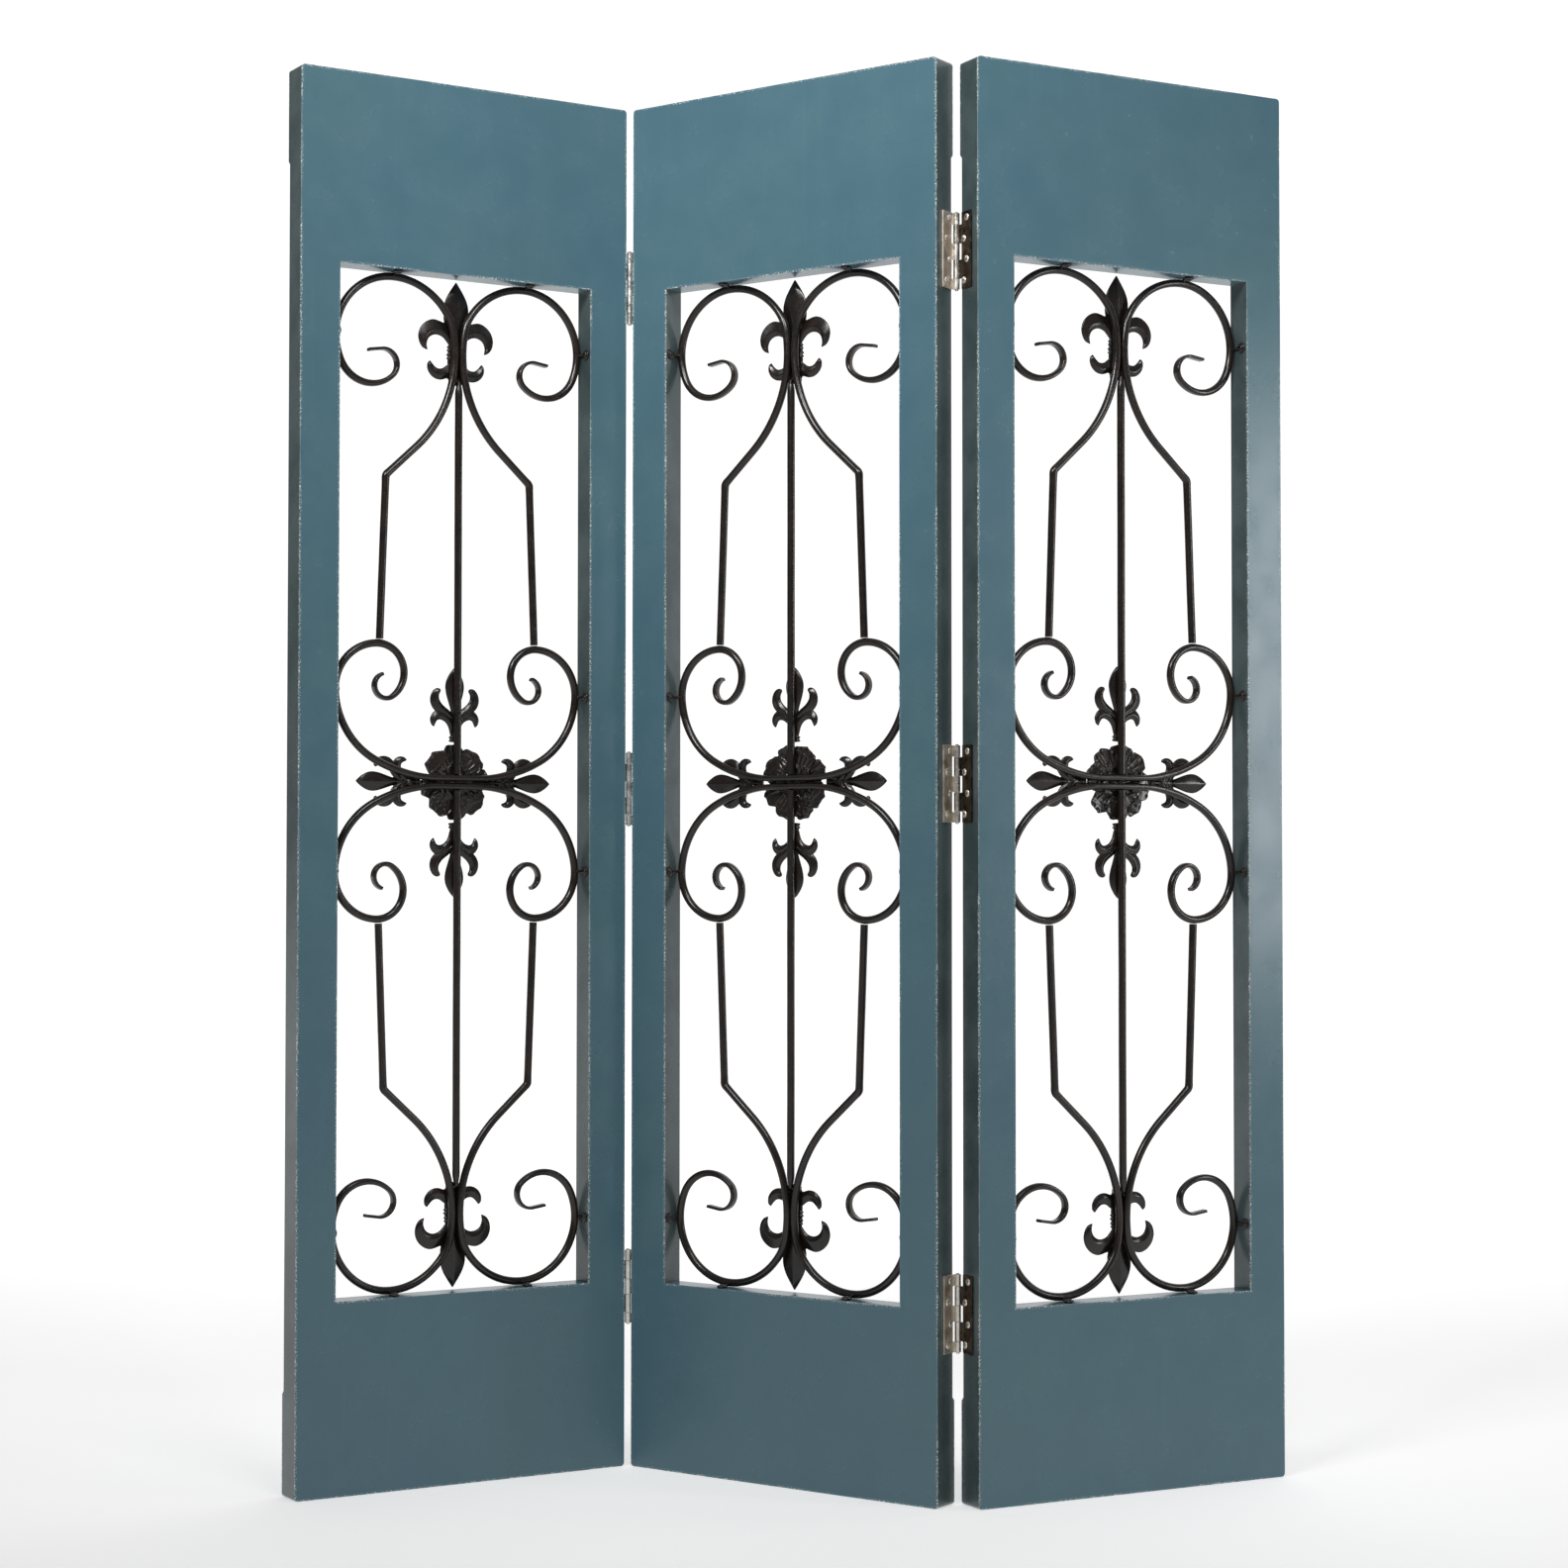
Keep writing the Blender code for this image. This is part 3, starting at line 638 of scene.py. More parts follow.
def stopped_chamfer_mesh(side):
    """The bar that cuts a stile's stopped chamfer: a square one on its corner, pointed at both ends."""
    bm = bmesh.new()
    x = side * WIDTH_HALF
    corners = ((1, 0), (0, 1), (-1, 0), (0, -1))
    rings = []
    for z in (CHAMFER_FROM + CHAMFER, CHAMFER_TO - CHAMFER):
        ring = [(x + CHAMFER * a, PANEL_DEPTH + CHAMFER * b, z) for a, b in corners]
        rings.append([bm.verts.new(corner) for corner in ring])
    foot = bm.verts.new((x, PANEL_DEPTH, CHAMFER_FROM))
    head = bm.verts.new((x, PANEL_DEPTH, CHAMFER_TO))
    for k in range(4):
        n = (k + 1) % 4
        bm.faces.new((rings[0][k], rings[0][n], rings[1][n], rings[1][k]))
        bm.faces.new((foot, rings[0][n], rings[0][k]))
        bm.faces.new((head, rings[1][k], rings[1][n]))
    return mesh_from(bm)


def opening_flare_mesh():
    """The block that cuts the mitred chamfer round the opening, a little deeper than the boards."""
    rings = []
    for y in (PANEL_DEPTH - FLARE - 1.0 * MM, PANEL_DEPTH + 1.0 * MM):
        grow = y - (PANEL_DEPTH - FLARE)
        half = OPENING_HALF + grow
        rise = OPENING_RISE + grow
        corners = ((-half, -rise), (half, -rise), (half, rise), (-half, rise))
        rings.append([(x, y, MID + z) for x, z in corners])
    return lofted(rings)


def build_timber():
    boards = {
        "left_stile": stile_mesh(-1),
        "right_stile": stile_mesh(1),
        "top_rail": rail_mesh(HEAD, PANEL_HEIGHT),
        "bottom_rail": rail_mesh(0.0, SILL),
    }
    for number, panel in enumerate(PANELS):
        paint = paint_material(panel + "_paint", 40.0 * number)
        for label, mesh in boards.items():
            node = f"{panel}_{label}"
            new_piece(node + "_board", mesh.copy(), panel, paint, [node])


# ---- forged rods ----


def bent_path(start, heading, bends):
    """Points (x, z, distance) close together on a rod: each bend is (radius, turn), or (0, length)."""
    heading = math.radians(heading)
    run = [(*start, 0.0)]
    for radius, amount in bends:
        x0, z0, walked = run[-1]
        if radius == 0:
            turn = 0.0
            length = amount * MM
        else:
            turn = math.radians(amount)
            length = radius * MM * abs(turn)
        steps = max(2, math.ceil(length / ROD_STEP), math.ceil(abs(turn) / math.radians(6)))
        for k in range(1, steps + 1):
            part = k / steps
            if radius == 0:
                px = x0 + length * part * math.cos(heading)
                pz = z0 + length * part * math.sin(heading)
            else:
                side = math.copysign(radius * MM, turn)
                angle = heading + turn * part
                px = x0 - side * math.sin(heading) + side * math.sin(angle)
                pz = z0 + side * math.cos(heading) - side * math.cos(angle)
            run.append((px, pz, walked + length * part))
        heading += turn
    return run


# The bends of each scroll, as bent_path takes them: radius and length in mm, turn in degrees
OUTER_BENDS = (
    (0, 211.5), (8.2, 45.6), (0, 56.6), (169.7, -58.6), (51.4, -19.0), (93.2, -61.4),
    (81.7, -113.0), (46.1, -109.6), (19.7, -144.7), (0, 18.0),
)
MID_BENDS = ((0, 28.6), (197.4, 27.4), (104.9, 60.1), (60.4, 92.4), (37.5, 147.2), (16.3, 193.6))


def squared_off(value, power):
    """A sine or cosine, pushed towards a square section by a power below one."""
    return math.copysign(abs(value) ** power, value)


def forged_rod(run, half_sizes, seed):
    """A rod along the run. half_sizes gives its half sizes in and across the plane and its squareness."""
    points = np.array([(x, z) for x, z, _ in run])
    ahead = np.gradient(points, axis=0)
    ahead /= np.linalg.norm(ahead, axis=1)[:, None]
    rings = []
    for (x, z), (ax, az), (_, _, walked) in zip(points, ahead, run):
        flat, deep, square = half_sizes(walked)
        wobble = noise.noise(Vector((walked * 24.0, seed * 7.1, 0.0)))
        lean = noise.noise(Vector((walked * 9.0, seed * 3.3, 5.0)))
        flat *= 1 + 0.035 * wobble
        deep *= 1 - 0.030 * wobble
        y = ROD_DEPTH + 0.35 * MM * lean
        power = 2.0 / (2.0 + 2.2 * square)
        ring = []
        for angle in turns(ROD_SIDES, 0.5):
            across = flat * squared_off(math.cos(angle), power)
            into = deep * squared_off(math.sin(angle), power)
            ring.append((x - az * across, y + into, z + ax * across))
        rings.append(ring)
    return sharpen(lofted(rings), 50.0)


def outer_rod_mesh(side, up, seed):
    run = bent_path(OUTER_START, OUTER_HEADING, OUTER_BENDS)
    length = run[-1][2]

    def half_sizes(walked):
        beaten = ease(walked, length - 150 * MM, length - 10 * MM)
        shoulder = math.exp(-((walked - SHOULDER_AT) / (7 * MM)) ** 2)
        flat = ROD_RADIUS * (1 - 0.58 * beaten + 0.06 * shoulder)
        deep = ROD_RADIUS * (1 + 0.22 * beaten + 0.05 * shoulder)
        return flat, deep, beaten

    placed = [(side * x, MID + up * z, walked) for x, z, walked in run]
    return forged_rod(placed, half_sizes, seed)


def mid_rod_mesh(up, seed):
    half_run = bent_path((0.0, MID_RISE), 0.0, MID_BENDS)
    half_length = half_run[-1][2]
    run = [(-x, z, -walked) for x, z, walked in half_run[:0:-1]] + half_run

    def half_sizes(walked):
        out = abs(walked)
        crossing = 1 - ease(out, 35 * MM, 95 * MM)
        beaten = ease(out, half_length - 110 * MM, half_length - 8 * MM)
        flat = ROD_RADIUS * (1 - 0.20 * crossing - 0.52 * beaten)
        deep = ROD_RADIUS * (1 + 0.04 * crossing + 0.20 * beaten)
        return flat, deep, max(beaten, 0.35 * crossing)

    placed = [(x, MID + up * z, walked) for x, z, walked in run]
    return forged_rod(placed, half_sizes, seed)


def centre_rod_mesh(up, seed):
    low = (MID_RISE + ROD_RADIUS) * 1.02
    high = FLEUR_BASE + 3.0 * MM
    steps = math.ceil((high - low) / ROD_STEP)
    walks = [(high - low) * k / steps for k in range(steps + 1)]
    run = [(0.0, MID + up * (low + walked), walked) for walked in walks]

    def half_sizes(walked):
        tip = ease(walked, high - low - 16 * MM, high - low)
        root = 1 - ease(walked, 0.0, 6 * MM)
        return ROD_RADIUS * (1 - 0.45 * tip + 0.10 * root), ROD_RADIUS * (1 - 0.30 * tip), 0.0

    return forged_rod(run, half_sizes, seed)


def bead(x, y, z, half_sizes, seed):
    """A weld bead: a lumpy ellipsoid."""
    bm = bmesh.new()
    bmesh.ops.create_icosphere(bm, subdivisions=3, radius=1.0)
    for v in bm.verts:
        lump = 1 + 0.16 * noise.noise(v.co * 2.1 + Vector((seed, 0.0, 0.0)))
        v.co = Vector([c * half * lump + p for c, half, p in zip(v.co, half_sizes, (x, y, z))])
    return mesh_from(bm)


def lug_mesh():
    """A flattened ring lug about its screw, lying in x and y, its neck running off along +y."""
    bm = bmesh.new()
    rings = []
    for angle in turns(36):
        ripple = 1 + 0.05 * noise.noise(Vector((math.cos(angle) * 2, math.sin(angle) * 2, 1.0)))
        ring = []
        for turn in turns(12):
            reach = (4.75 + 2.0 * math.cos(turn)) * MM * ripple
            lift = 1.55 * MM + 1.45 * MM * math.sin(turn)
            ring.append((reach * math.cos(angle), reach * math.sin(angle), lift))
        rings.append(ring)
    loft(bm, rings, closed=True)
    neck = []
    for k in range(9):
        t = k / 8
        y = 5.6 * MM + t * (ROD_DEPTH - LUG_DEPTH - 5.6 * MM)
        wide = (2.5 - 0.5 * math.sin(t * math.pi)) * MM
        thick = (1.5 + 0.9 * t) * MM
        lift = (1.6 + 2.4 * t * t) * MM
        ring = []
        for turn in turns(12):
            ring.append((wide * math.cos(turn), y, lift + thick * math.sin(turn)))
        neck.append(ring)
    loft(bm, neck)
    return sharpen(mesh_from(bm), 60.0)


def screw_mesh(radius, dome, recess):
    """A cross-recessed screw head standing on z = 0."""
    profile = [
        (0.05 * radius, -0.6 * MM), (radius, -0.6 * MM), (radius, 0.15 * dome),
        (0.93 * radius, 0.42 * dome), (0.72 * radius, 0.76 * dome), (0.42 * radius, 0.95 * dome),
        (0.05 * radius, dome),
    ]
    head = turned_solid(profile, 28)
    arm = 0.58 * radius
    half = 0.14 * radius
    blades = [
        box_mesh((-arm, -half, dome - recess), (arm, half, dome + MM)),
        box_mesh((-half, -arm, dome - recess), (half, arm, dome + MM)),
    ]
    return sharpen(cut_by(head, *blades), 35.0)


def side_lug_place(side, z):
    """Turns a lug's lift towards the opening and its neck away from the plain face."""
    x = side * (OPENING_HALF - LUG_CLEAR)
    return Matrix((
        (0.0, 0.0, -side, x),
        (0.0, 1.0, 0.0, LUG_DEPTH),
        (side, 0.0, 0.0, z),
        (0.0, 0.0, 0.0, 1.0),
    ))


def rail_lug_place(x, up):
    z = MID + up * (OPENING_RISE - LUG_CLEAR)
    return Matrix((
        (-up, 0.0, 0.0, x),
        (0.0, 1.0, 0.0, LUG_DEPTH),
        (0.0, 0.0, -up, z),
        (0.0, 0.0, 0.0, 1.0),
    ))


# ---- castings ----


def leaf(bm, inner, outer, stations, across=10, ridge=0.0, rim=0.30, full=CAST_HALF):
    """A cast leaf between two edges: lens-shaped, with a ridge along it on both faces."""
    inner = smooth_run([(x * MM, z * MM) for x, z in inner], stations)
    outer = smooth_run([(x * MM, z * MM) for x, z in outer], stations)
    rings = []
    for (xi, zi), (xo, zo) in zip(inner, outer):
        wide = math.hypot(xo - xi, zo - zi)
        thick = min(full, 0.50 * wide + 0.35 * MM)
        near = []
        far = []
        for k in range(across + 1):
            u = -1 + 2 * k / across
            slope = abs(u - ridge) / (1 + ridge if u < ridge else 1 - ridge)
            height = thick * (rim + (1 - rim) * (1 - slope ** 1.25))
            x = xi + (xo - xi) * (u + 1) / 2
            z = zi + (zo - zi) * (u + 1) / 2
            near.append((x, CAST_DEPTH - height, z))
            far.append((x, CAST_DEPTH + height, z))
        rings.append(near + far[::-1])
    loft(bm, rings)


def mirrored(edge):
    return [(-x, z) for x, z in edge]


def middle_leaf(bm, edge, **settings):
    leaf(bm, mirrored(edge), edge, **settings)


def side_leaves(bm, inner, outer, **settings):
    leaf(bm, inner, outer, **settings)
    leaf(bm, mirrored(inner), mirrored(outer), **settings)


def knob(bm, x, z, radii):
    """An ellipsoid swelling on a casting, sizes in millimetres."""
    place = Matrix.Translation((x * MM, CAST_DEPTH, z * MM)) @ Matrix.Diagonal(
        (radii[0] * MM, radii[1] * MM, radii[2] * MM, 1.0))
    bmesh.ops.create_uvsphere(bm, u_segments=20, v_segments=12, radius=1.0, matrix=place)


def cast(bm, scale=1.0):
    """The shapes melted into one casting with soft inside corners."""
    mesh = mesh_from(bm)
    made = with_modifiers(
        mesh,
        ("REMESH", {"mode": "VOXEL", "voxel_size": VOXEL, "use_smooth_shade": True}),
        ("SMOOTH", {"factor": 0.5, "iterations": 2}),
    )
    made.transform(Matrix.Diagonal((scale, 1.0, scale, 1.0)))
    made.shade_smooth()
    return made


def fleur_mesh():
    """The fleur about its foot: a bud, two curled leaves a side, a stem and its collars."""
    bm = bmesh.new()
    bud_edge = [(5.6, 58.0), (9.5, 66.0), (14.6, 75.0), (17.9, 84.5), (18.5, 94.0), (18.0, 104.0),
                (14.7, 114.5), (9.2, 124.0), (4.0, 131.6), (0.5, 136.8)]
    middle_leaf(bm, bud_edge, stations=34, across=14, rim=0.22)
    side_leaves(
        bm,
        [(1.0, 47.0), (8.0, 50.0), (13.7, 56.4), (19.2, 61.9), (26.5, 64.6), (33.9, 63.7), (40.3, 59.1),
         (43.0, 50.9), (41.4, 43.8)],
        [(1.0, 63.0), (6.0, 72.0), (13.0, 79.0), (25.6, 83.8), (34.8, 84.9), (43.9, 81.1), (51.4, 73.6),
         (54.9, 63.7), (53.6, 53.6), (48.6, 46.2), (41.8, 43.2)],
        stations=34, ridge=-0.25,
    )
    side_leaves(
        bm,
        [(1.0, 30.0), (7.0, 28.6), (13.7, 25.3), (20.1, 20.9), (27.5, 20.5), (33.4, 24.8), (37.3, 29.9)],
        [(1.0, 3.0), (8.0, 8.2), (14.6, 7.4), (22.0, 5.3), (30.2, 6.4), (37.5, 11.4), (41.6, 19.0),
         (41.3, 26.4), (38.0, 30.2)],
        stations=28, ridge=0.25,
    )
    stem_edge = [(10.0, 0.4), (10.8, 8.0), (12.0, 24.0), (11.9, 44.0), (10.0, 60.0), (6.0, 68.0)]
    middle_leaf(bm, stem_edge, stations=18)
    for z, wide in ((34.6, 14.6), (39.2, 14.9), (45.4, 14.2), (49.6, 13.8)):
        knob(bm, 0.0, z, (wide, 4.1, 2.5))
    for z, wide in ((2.6, 11.2), (7.0, 11.9)):
        knob(bm, 0.0, z, (wide, 4.0, 2.3))
    return cast(bm)


def spray_mesh(scale):
    """The small fleur about its foot, as fleur_mesh draws the large one."""
    bm = bmesh.new()
    bud_edge = [(4.6, 38.0), (6.6, 45.0), (9.6, 54.0), (12.6, 64.0), (13.8, 73.0), (12.6, 81.0),
                (8.8, 88.8), (4.2, 94.9), (0.5, 98.6)]
    middle_leaf(bm, bud_edge, stations=26, across=14, rim=0.22)
    side_leaves(
        bm,
        [(1.0, 33.0), (5.0, 38.0), (8.2, 42.4), (14.0, 46.5), (18.6, 50.6), (22.3, 56.0), (23.0, 62.0),
         (20.4, 67.4)],
        [(1.0, 27.0), (10.0, 30.5), (20.0, 36.0), (28.6, 41.4), (33.4, 47.0), (35.8, 55.0), (34.0, 64.0),
         (28.6, 70.4), (22.6, 71.2), (20.0, 68.6)],
        stations=28, ridge=-0.15,
    )
    side_leaves(
        bm,
        [(1.0, 8.0), (6.2, 10.0), (8.2, 18.3), (12.8, 25.6), (20.1, 29.4), (26.0, 28.2), (29.6, 20.6)],
        [(1.0, 30.0), (8.0, 36.5), (16.0, 40.6), (24.0, 42.2), (31.0, 39.4), (35.4, 32.0), (34.4, 24.0),
         (30.6, 19.8)],
        stations=26, ridge=0.2,
    )
    stem_edge = [(7.2, 0.2), (6.0, 10.0), (5.8, 24.0), (5.2, 46.0)]
    middle_leaf(bm, stem_edge, stations=14, full=CAST_HALF * 0.85)
    for z, wide in ((1.9, 8.8), (6.3, 8.8)):
        knob(bm, 0.0, z, (wide, 3.9, 2.2))
    return cast(bm, scale)


def rose_petal(bm, face, centre_angle, half_angle, inner, outer, lift, cup, flutes, seed):
    """One fluted petal on a face of the rosette (-1 near, 1 far): a shell with a lobed, rolled rim."""
    rows = []
    for i in range(15):
        share = i / 14
        width = 0.50 + 0.50 * math.sin(0.30 + share * 1.9) ** 0.8
        near = []
        far = []
        for k in range(25):
            u = -1 + 2 * k / 24
            angle = centre_angle + half_angle * u * width
            lobes = 1 - 0.30 * abs(u) ** 3.6 + 0.030 * math.cos(u * math.pi * 3 + seed)
            radius = inner + (outer * lobes - inner) * share
            bowl = cup * math.sin(share * 2.5) ** 2 * (1 - 0.5 * u * u)
            roll = 1.5 * ease(share, 0.80, 1.0)
            flute = 1.9 * (abs(math.sin(u * math.pi * flutes / 2 + seed)) - 0.5) * share ** 0.6
            y = CAST_DEPTH + face * (lift - bowl + roll + flute) * MM
            x = radius * math.cos(angle) * MM
            z = radius * math.sin(angle) * MM
            near.append((x, y - PETAL_HALF, z))
            far.append((x, y + PETAL_HALF, z))
        rows.append(near + far[::-1])
    loft(bm, rows)


def rosette_mesh():
    """A rose of lobed, fluted petals on both faces: tiers of broad and small ones round a heart."""
    bm = bmesh.new()
    # Face, petals, first angle, half angle, inner and outer radius, lift, cup, flutes
    tiers = (
        (-1, 4, 0.10, 0.46, 14.0, 50.5, -1.2, 0.4, 4.0),
        (-1, 4, 0.86, 0.60, 9.0, 50.0, 1.2, 1.8, 6.0),
        (-1, 5, 0.30, 0.66, 4.0, 27.0, 2.6, 1.6, 4.0),
        (1, 4, 0.86, 0.58, 9.0, 46.5, 0.3, 1.6, 6.0),
        (1, 5, 0.30, 0.66, 4.0, 29.0, 0.7, 1.6, 4.0),
    )
    for face, count, turn, half, inner, outer, lift, cup, flutes in tiers:
        for k in range(count):
            angle = turn + math.tau * (k + 0.05 * math.sin(4.0 * k)) / count
            reach = outer * (1 + 0.018 * math.sin(3.1 * k + outer))
            rose_petal(bm, face, angle, half, inner, reach, lift - 0.4 * (k % 2), cup, flutes, k * 1.7)
    for x, z in circle(6.4, 8):
        knob(bm, x, z, (2.2, 3.9, 2.2))
    knob(bm, 0.0, 0.0, (4.2, 4.3, 4.2))
    return cast(bm)


# ---- grille ----


class Grille:
    """One panel's grille, put together from a stock of meshes that all the grilles share."""

    def __init__(self, number, panel, stock):
        self.number = number
        self.panel = panel
        self.stock = stock
        self.irons = {}
        for label, (seed, *finish) in IRON_FINISHES.items():
            self.irons[label] = iron_material(f"{panel}_{label}", 11.0 * number + seed, *finish)

    def add_piece(self, name, parts, iron, smooth=False, replaced=()):
        mesh = joined(parts, name)
        if smooth:
            mesh.shade_smooth()
        new_piece(name, mesh, self.panel, self.irons[iron], replaced)

    def add_forged(self, part, rod, lug_places, beads):
        """A rod with its lugs and weld beads as one piece, and the screws in its lugs as another."""
        node = f"{self.panel}_{part}"
        parts = [(rod, STILL)]
        parts += [(self.stock["lug"], place) for place in lug_places]
        parts += [(each, STILL) for each in beads]
        self.add_piece(node + "_forged", parts, "forged_iron", replaced=[node])
        if lug_places:
            lift = Matrix.Translation((0.0, 0.0, LUG_SCREW_LIFT))
            screws = [(self.stock["screw"], place @ lift) for place in lug_places]
            self.add_piece(node + "_lug_screws", screws, "screw_black")

    def add_casting(self, part, shape, across, rise, degrees, iron="cast_iron", in_cad=False):
        """A casting, placed from the middle. One that is in the CAD stands in for its node."""
        node = f"{self.panel}_{part}"
        turn = Matrix.Rotation(math.radians(-degrees), 4, "Y")
        place = Matrix.Translation((across, 0.0, MID + rise)) @ turn
        replaced = [node] if in_cad else []
        self.add_piece(node + "_casting", [(self.stock[shape], place)], iron, True, replaced)

    def add_outer_scroll(self, part, side, up):
        seed = 10 * self.number + 3 * up + side
        height = MID + up * SIDE_LUGS[0]
        places = [side_lug_place(side, height), rail_lug_place(side * RAIL_LUG_ACROSS, up)]
        by_rail = MID + up * (OPENING_RISE - RAIL_WELD_DROP)
        beads = [
            bead(side * OUTER_WELD_ACROSS, WELD_DEPTH, height, SIDE_WELD, seed),
            bead(side * RAIL_LUG_ACROSS, WELD_DEPTH, by_rail, RAIL_WELD, seed + 1),
        ]
        self.add_forged(part, outer_rod_mesh(side, up, seed), places, beads)

    def add_mid_scroll(self, part, up):
        seed = 10 * self.number + 5 * up
        height = MID + up * SIDE_LUGS[1]
        places = [side_lug_place(side, height) for side in (-1, 1)]
        beads = []
        for side in (-1, 1):
            beads.append(bead(side * MID_WELD_ACROSS, WELD_DEPTH, height, SIDE_WELD, seed + side))
        across, depth, rise = SPRAY_WELD_AT
        beads.append(bead(up * across, depth, MID + up * rise, SPRAY_WELD, seed + 4))
        self.add_forged(part, mid_rod_mesh(up, seed), places, beads)

    def add_centre_rod(self, part, up):
        seed = 10 * self.number + 5 * up
        beads = []
        for place, half_sizes, shift in ((ROOT_WELD_AT, ROOT_WELD, 0), (TIP_WELD_AT, TIP_WELD, 2)):
            across, depth, rise = place
            beads.append(bead(across, depth, MID + up * rise, half_sizes, seed + shift))
        self.add_forged(part, centre_rod_mesh(up, seed + 7), (), beads)


def build_grilles():
    stock = {
        "fleur": fleur_mesh(),
        "upright_spray": spray_mesh(1.0),
        "sideways_spray": spray_mesh(SIDE_SPRAY_SCALE),
        "rosette": rosette_mesh(),
        "lug": lug_mesh(),
        "screw": screw_mesh(*LUG_SCREW),
    }
    for number, panel in enumerate(PANELS):
        grille = Grille(number, panel, stock)
        for up, height, end, hand in ((1, "upper", "top", "right"), (-1, "lower", "bottom", "left")):
            turn = 0.0 if up > 0 else 180.0
            for side, label in ((-1, "left"), (1, "right")):
                grille.add_outer_scroll(f"{height}_{label}_scroll", side, up)
            grille.add_mid_scroll(f"{height}_mid_scroll", up)
            grille.add_casting(f"{hand}_spray", "sideways_spray", up * SIDE_SPRAY_BASE, 0.0, -90.0 * up)
            grille.add_centre_rod(f"{height}_centre_rod", up)
            grille.add_casting(f"{height}_spray", "upright_spray", 0.0, up * SPRAY_BASE, turn)
            grille.add_casting(f"{end}_fleur", "fleur", 0.0, up * FLEUR_BASE, turn, in_cad=True)
        # The rosette's lighter iron is painted light
        grille.add_casting("rosette", "rosette", 0.0, 0.0, 17.0 * number, "rose_iron_painted_light", in_cad=True)


# ---- hinges ----


def knuckle_spans(own):
    """The lows and highs of one leaf's knuckles: the pin leaf (0) has three, the bored leaf (1) two."""
    spans = []
    z = -LEAF_HEIGHT / 2
    for k, share in enumerate(KNUCKLE_SHARES):
        top = z + share * LEAF_HEIGHT
        if k % 2 == own:
            low = z if k == 0 else z + HINGE_GAP / 2
            high = top if k == len(KNUCKLE_SHARES) - 1 else top - HINGE_GAP / 2
            spans.append((low, high))
        z = top
    return spans


def plate_outline(own):
    """The leaf seen face on, as (along, z): straight outer edge, tongues that reach the barrel."""
    half = LEAF_HEIGHT / 2
    outline = [(LEAF_WIDTH, half), (LEAF_WIDTH, -half)]
    z = -half
    for low, high in knuckle_spans(own):
        if low > z + 1.0 * MM:
            outline += [(SLOT_END, z), (SLOT_END, low)]
        outline += [(TONGUE_END, low), (TONGUE_END, high)]
        z = high
    if half > z + 1.0 * MM:
        outline += [(SLOT_END, z), (SLOT_END, half)]
    return outline


def leaf_plate_mesh(own):
    """Plate and tongues of one leaf, edges eased, drawn about the hinge axis."""
    bm = bmesh.new()
    outline = plate_outline(own)
    face = LEAF_BACK + LEAF_THICKNESS
    add_prism(bm, [(LEAF_BACK, y, z) for y, z in outline], [(face, y, z) for y, z in outline])
    settings = {"width": HINGE_EASE, "segments": 2, "limit_method": "ANGLE"}
    settings["angle_limit"] = math.radians(40)
    plate = with_modifiers(mesh_from(bm), ("BEVEL", settings))
    return flattened(sharpen(plate, 60.0))


def knuckles_mesh(own):
    """One leaf's knuckles as short barrels with eased rims."""
    parts = []
    radius = KNUCKLE_RADIUS
    for low, high in knuckle_spans(own):
        barrel = turned_solid([
            (0.3 * radius, low), (radius - HINGE_EASE, low), (radius, low + HINGE_EASE),
            (radius, high - HINGE_EASE), (radius - HINGE_EASE, high), (0.3 * radius, high),
        ], 36)
        parts.append((barrel, STILL))
    return joined(parts, "knuckles")


def pin_mesh():
    """The pin, of which only the riveted foot and the rounded head show."""
    half = LEAF_HEIGHT / 2
    radius = PIN_RADIUS
    return turned_solid([
        (0.2 * radius, -half - 2.0 * MM), (0.8 * radius, -half - 1.8 * MM), (radius, -half - 1.2 * MM),
        (radius, half + 0.9 * MM), (0.8 * radius, half + 1.4 * MM), (0.2 * radius, half + 1.5 * MM),
    ], 24)


def leaf_screws_mesh(own, screw):
    """Four screw heads in a zigzag, standing on the leaf's open face."""
    face = LEAF_BACK + LEAF_THICKNESS - LEAF_SCREW_SINK
    upright = Matrix.Rotation(math.pi / 2, 4, "Y")
    parts = []
    for k, share in enumerate(SCREW_HEIGHTS):
        spin = Matrix.Rotation(0.5 + 1.3 * k + own, 4, "Z")
        place = Matrix.Translation((face, SCREW_ACROSS[(k + own) % 2], share * LEAF_HEIGHT))
        parts.append((screw, place @ upright @ spin))
    return joined(parts, "leaf_screws")


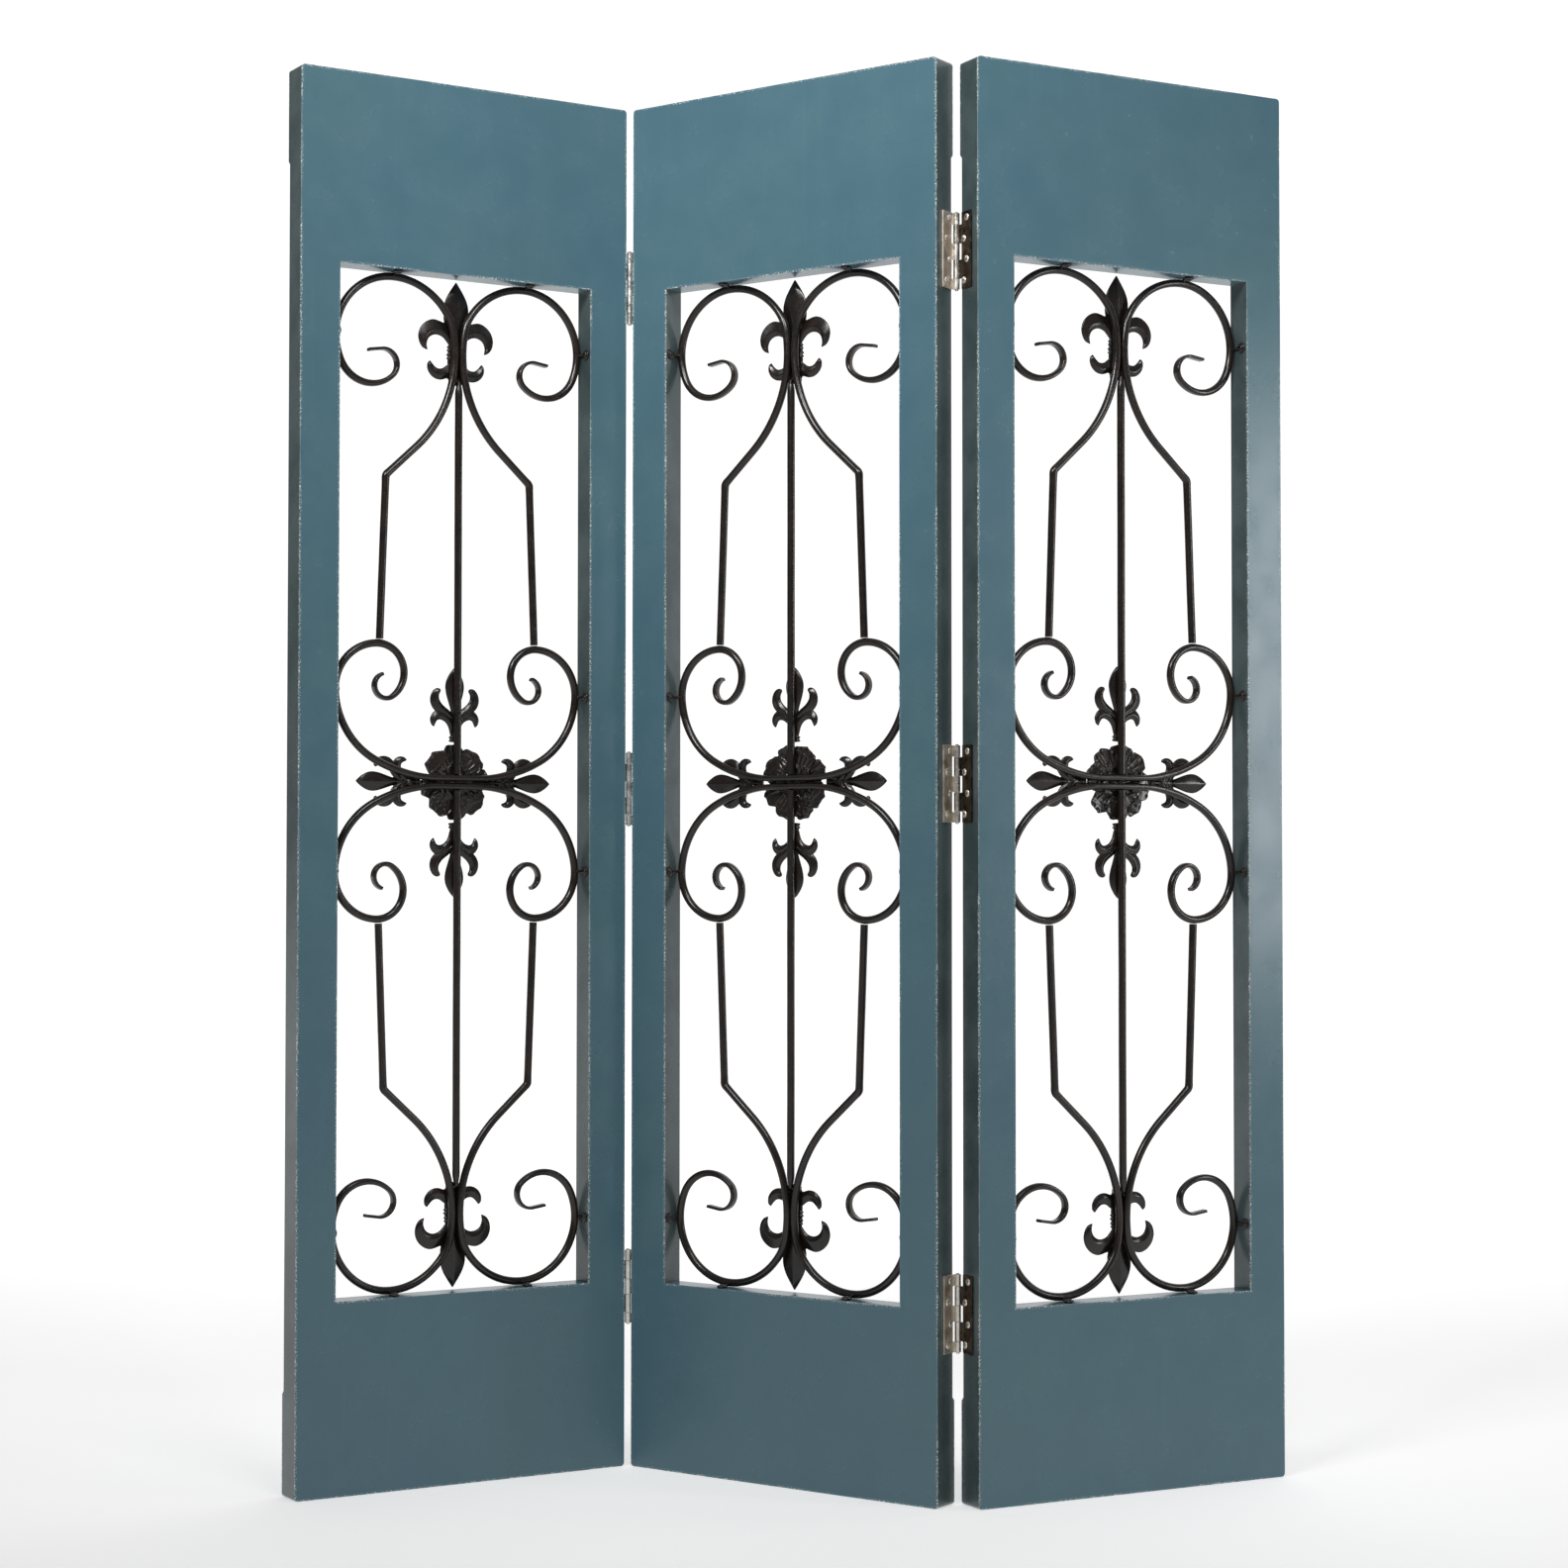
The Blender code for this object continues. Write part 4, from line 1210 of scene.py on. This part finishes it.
def build_hinges():
    """The pin leaves are on the middle panel and the bored ones on the outer panels."""
    screw = screw_mesh(*LEAF_SCREW)
    plates = [leaf_plate_mesh(own) for own in (0, 1)]
    barrels = [knuckles_mesh(own) for own in (0, 1)]
    screws = [leaf_screws_mesh(own, screw) for own in (0, 1)]
    pin = pin_mesh()
    barrel_metal = metal_material("hinge_barrel_plate", 3.0, *BARREL_PLATING)
    screw_metal = metal_material("hinge_screw_plate", 7.0, *SCREW_PLATING)
    number = 0
    for label, facing in (("left", 1), ("right", -1)):
        for level in ("bottom", "centre", "top"):
            hinge = f"{label}_hinge_{level}"
            low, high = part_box(hinge + "_bored_leaf")
            height = (low.z + high.z) / 2
            for own, (key, panel) in enumerate((("pin_leaf", "middle"), ("bored_leaf", label))):
                node = f"{hinge}_{key}"
                axis = PLACES[panel].inverted() @ AXES[label]
                mirror = -1.0 if (own == 0) == (facing > 0) else 1.0
                turn = Matrix.Diagonal((mirror, float(facing), 1.0, 1.0))
                place = Matrix.Translation((axis.x, axis.y, height)) @ turn
                # The leaf's tone holds painted light: pale pin leaves as a painted reflection, dark bored
                # leaves as painted shade
                leaf_tone_with_painted_light = metal_material(f"{node}_plate", 20.0 + 3 * number, *LEAF_PAINTED_LIGHT_AND_SHADE[key])
                plate = flattened(sharpen(joined([(plates[own], place)], node), 60.0))
                new_piece(node + "_plated", plate, panel, leaf_tone_with_painted_light, [node])
                barrel = sharpen(joined([(barrels[own], place)], node), 40.0)
                new_piece(node + "_knuckles", barrel, panel, barrel_metal)
                heads = sharpen(joined([(screws[own], place)], node), 35.0)
                new_piece(node + "_screws", heads, panel, screw_metal)
                number += 1
            axis = PLACES["middle"].inverted() @ AXES[label]
            place = Matrix.Translation((axis.x, axis.y, height))
            pin_piece = sharpen(joined([(pin, place)], "pin"), 40.0)
            new_piece(hinge + "_pin", pin_piece, "middle", barrel_metal)


# ---- studio ----


def floor_material():
    """A pale floor that glows more and more from the object's feet backwards."""
    material = bpy.data.materials.new("pale_floor")
    n = Nodes(material)
    tone = n.noise(2.0, 1.0, 2.0)
    n.finish("Base Color", n.mix(tone, (0.84, 0.84, 0.84), (0.88, 0.88, 0.88)))
    n.finish("Roughness", 0.85)
    n.finish("Specular IOR Level", 0.1)
    n.finish("Emission Color", (1.0, 1.0, 1.0, 1.0))
    depth = n.split(n.place)[1]
    glow = n.maths("ADD", *[n.span(depth, *step) for step in SWEEP_GLOW])
    n.finish("Emission Strength", glow)
    return material


def add_area(name, stand, target, size, power, spread):
    light = bpy.data.lights.new(name, "AREA")
    light.shape = "RECTANGLE"
    light.size, light.size_y = size
    light.energy = power
    light.spread = math.radians(spread)
    obj = add_object(name, light)
    obj.location = stand
    obj.rotation_euler = (Vector(target) - Vector(stand)).to_track_quat("-Z", "Y").to_euler()


def build_world():
    """A dim grey room with a white backdrop on the far side and a paler ceiling."""
    world = bpy.data.worlds.new("studio")
    n = Nodes(world, "Background")
    levels = []
    for towards, step in ((BACKDROP_TOWARDS, BACKDROP), ((0.0, 0.0, 1.0), CEILING)):
        share = n.tree.nodes.new("ShaderNodeVectorMath")
        share.operation = "DOT_PRODUCT"
        n.put(share, 0, n.direction)
        n.put(share, 1, towards)
        levels.append(n.span(share.outputs["Value"], *step))
    n.finish("Strength", n.maths("MAXIMUM", *levels))
    n.finish("Color", (1.0, 1.0, 1.0, 1.0))
    bpy.context.scene.world = world


def build_studio():
    bm = bmesh.new()
    place = Matrix.Translation((0.0, 0.0, -FLOOR_DROP))
    bmesh.ops.create_grid(bm, x_segments=1, y_segments=1, size=FLOOR_HALF, matrix=place)
    mesh = mesh_from(bm, "floor", smooth=False)
    mesh.materials.append(floor_material())
    floor = add_object("floor", mesh)
    build_world()
    for name, settings in LIGHTS.items():
        add_area(name, *settings)


def build_camera():
    data = bpy.data.cameras.new("camera")
    data.lens = CAMERA_LENS
    data.sensor_width = 36.0
    data.shift_x = CAMERA_SHIFT
    data.clip_end = 100.0
    camera = add_object("camera", data)
    tilt = Matrix.Rotation(math.radians(90.0 + CAMERA_PITCH), 4, "X")
    roll = Matrix.Rotation(math.radians(CAMERA_ROLL), 4, "Z")
    camera.matrix_world = Matrix.Translation(CAMERA_AT) @ tilt @ roll
    bpy.context.scene.camera = camera


build_timber()
build_grilles()
build_hinges()
build_studio()
build_camera()
bpy.context.scene.view_settings.view_transform = "Standard"
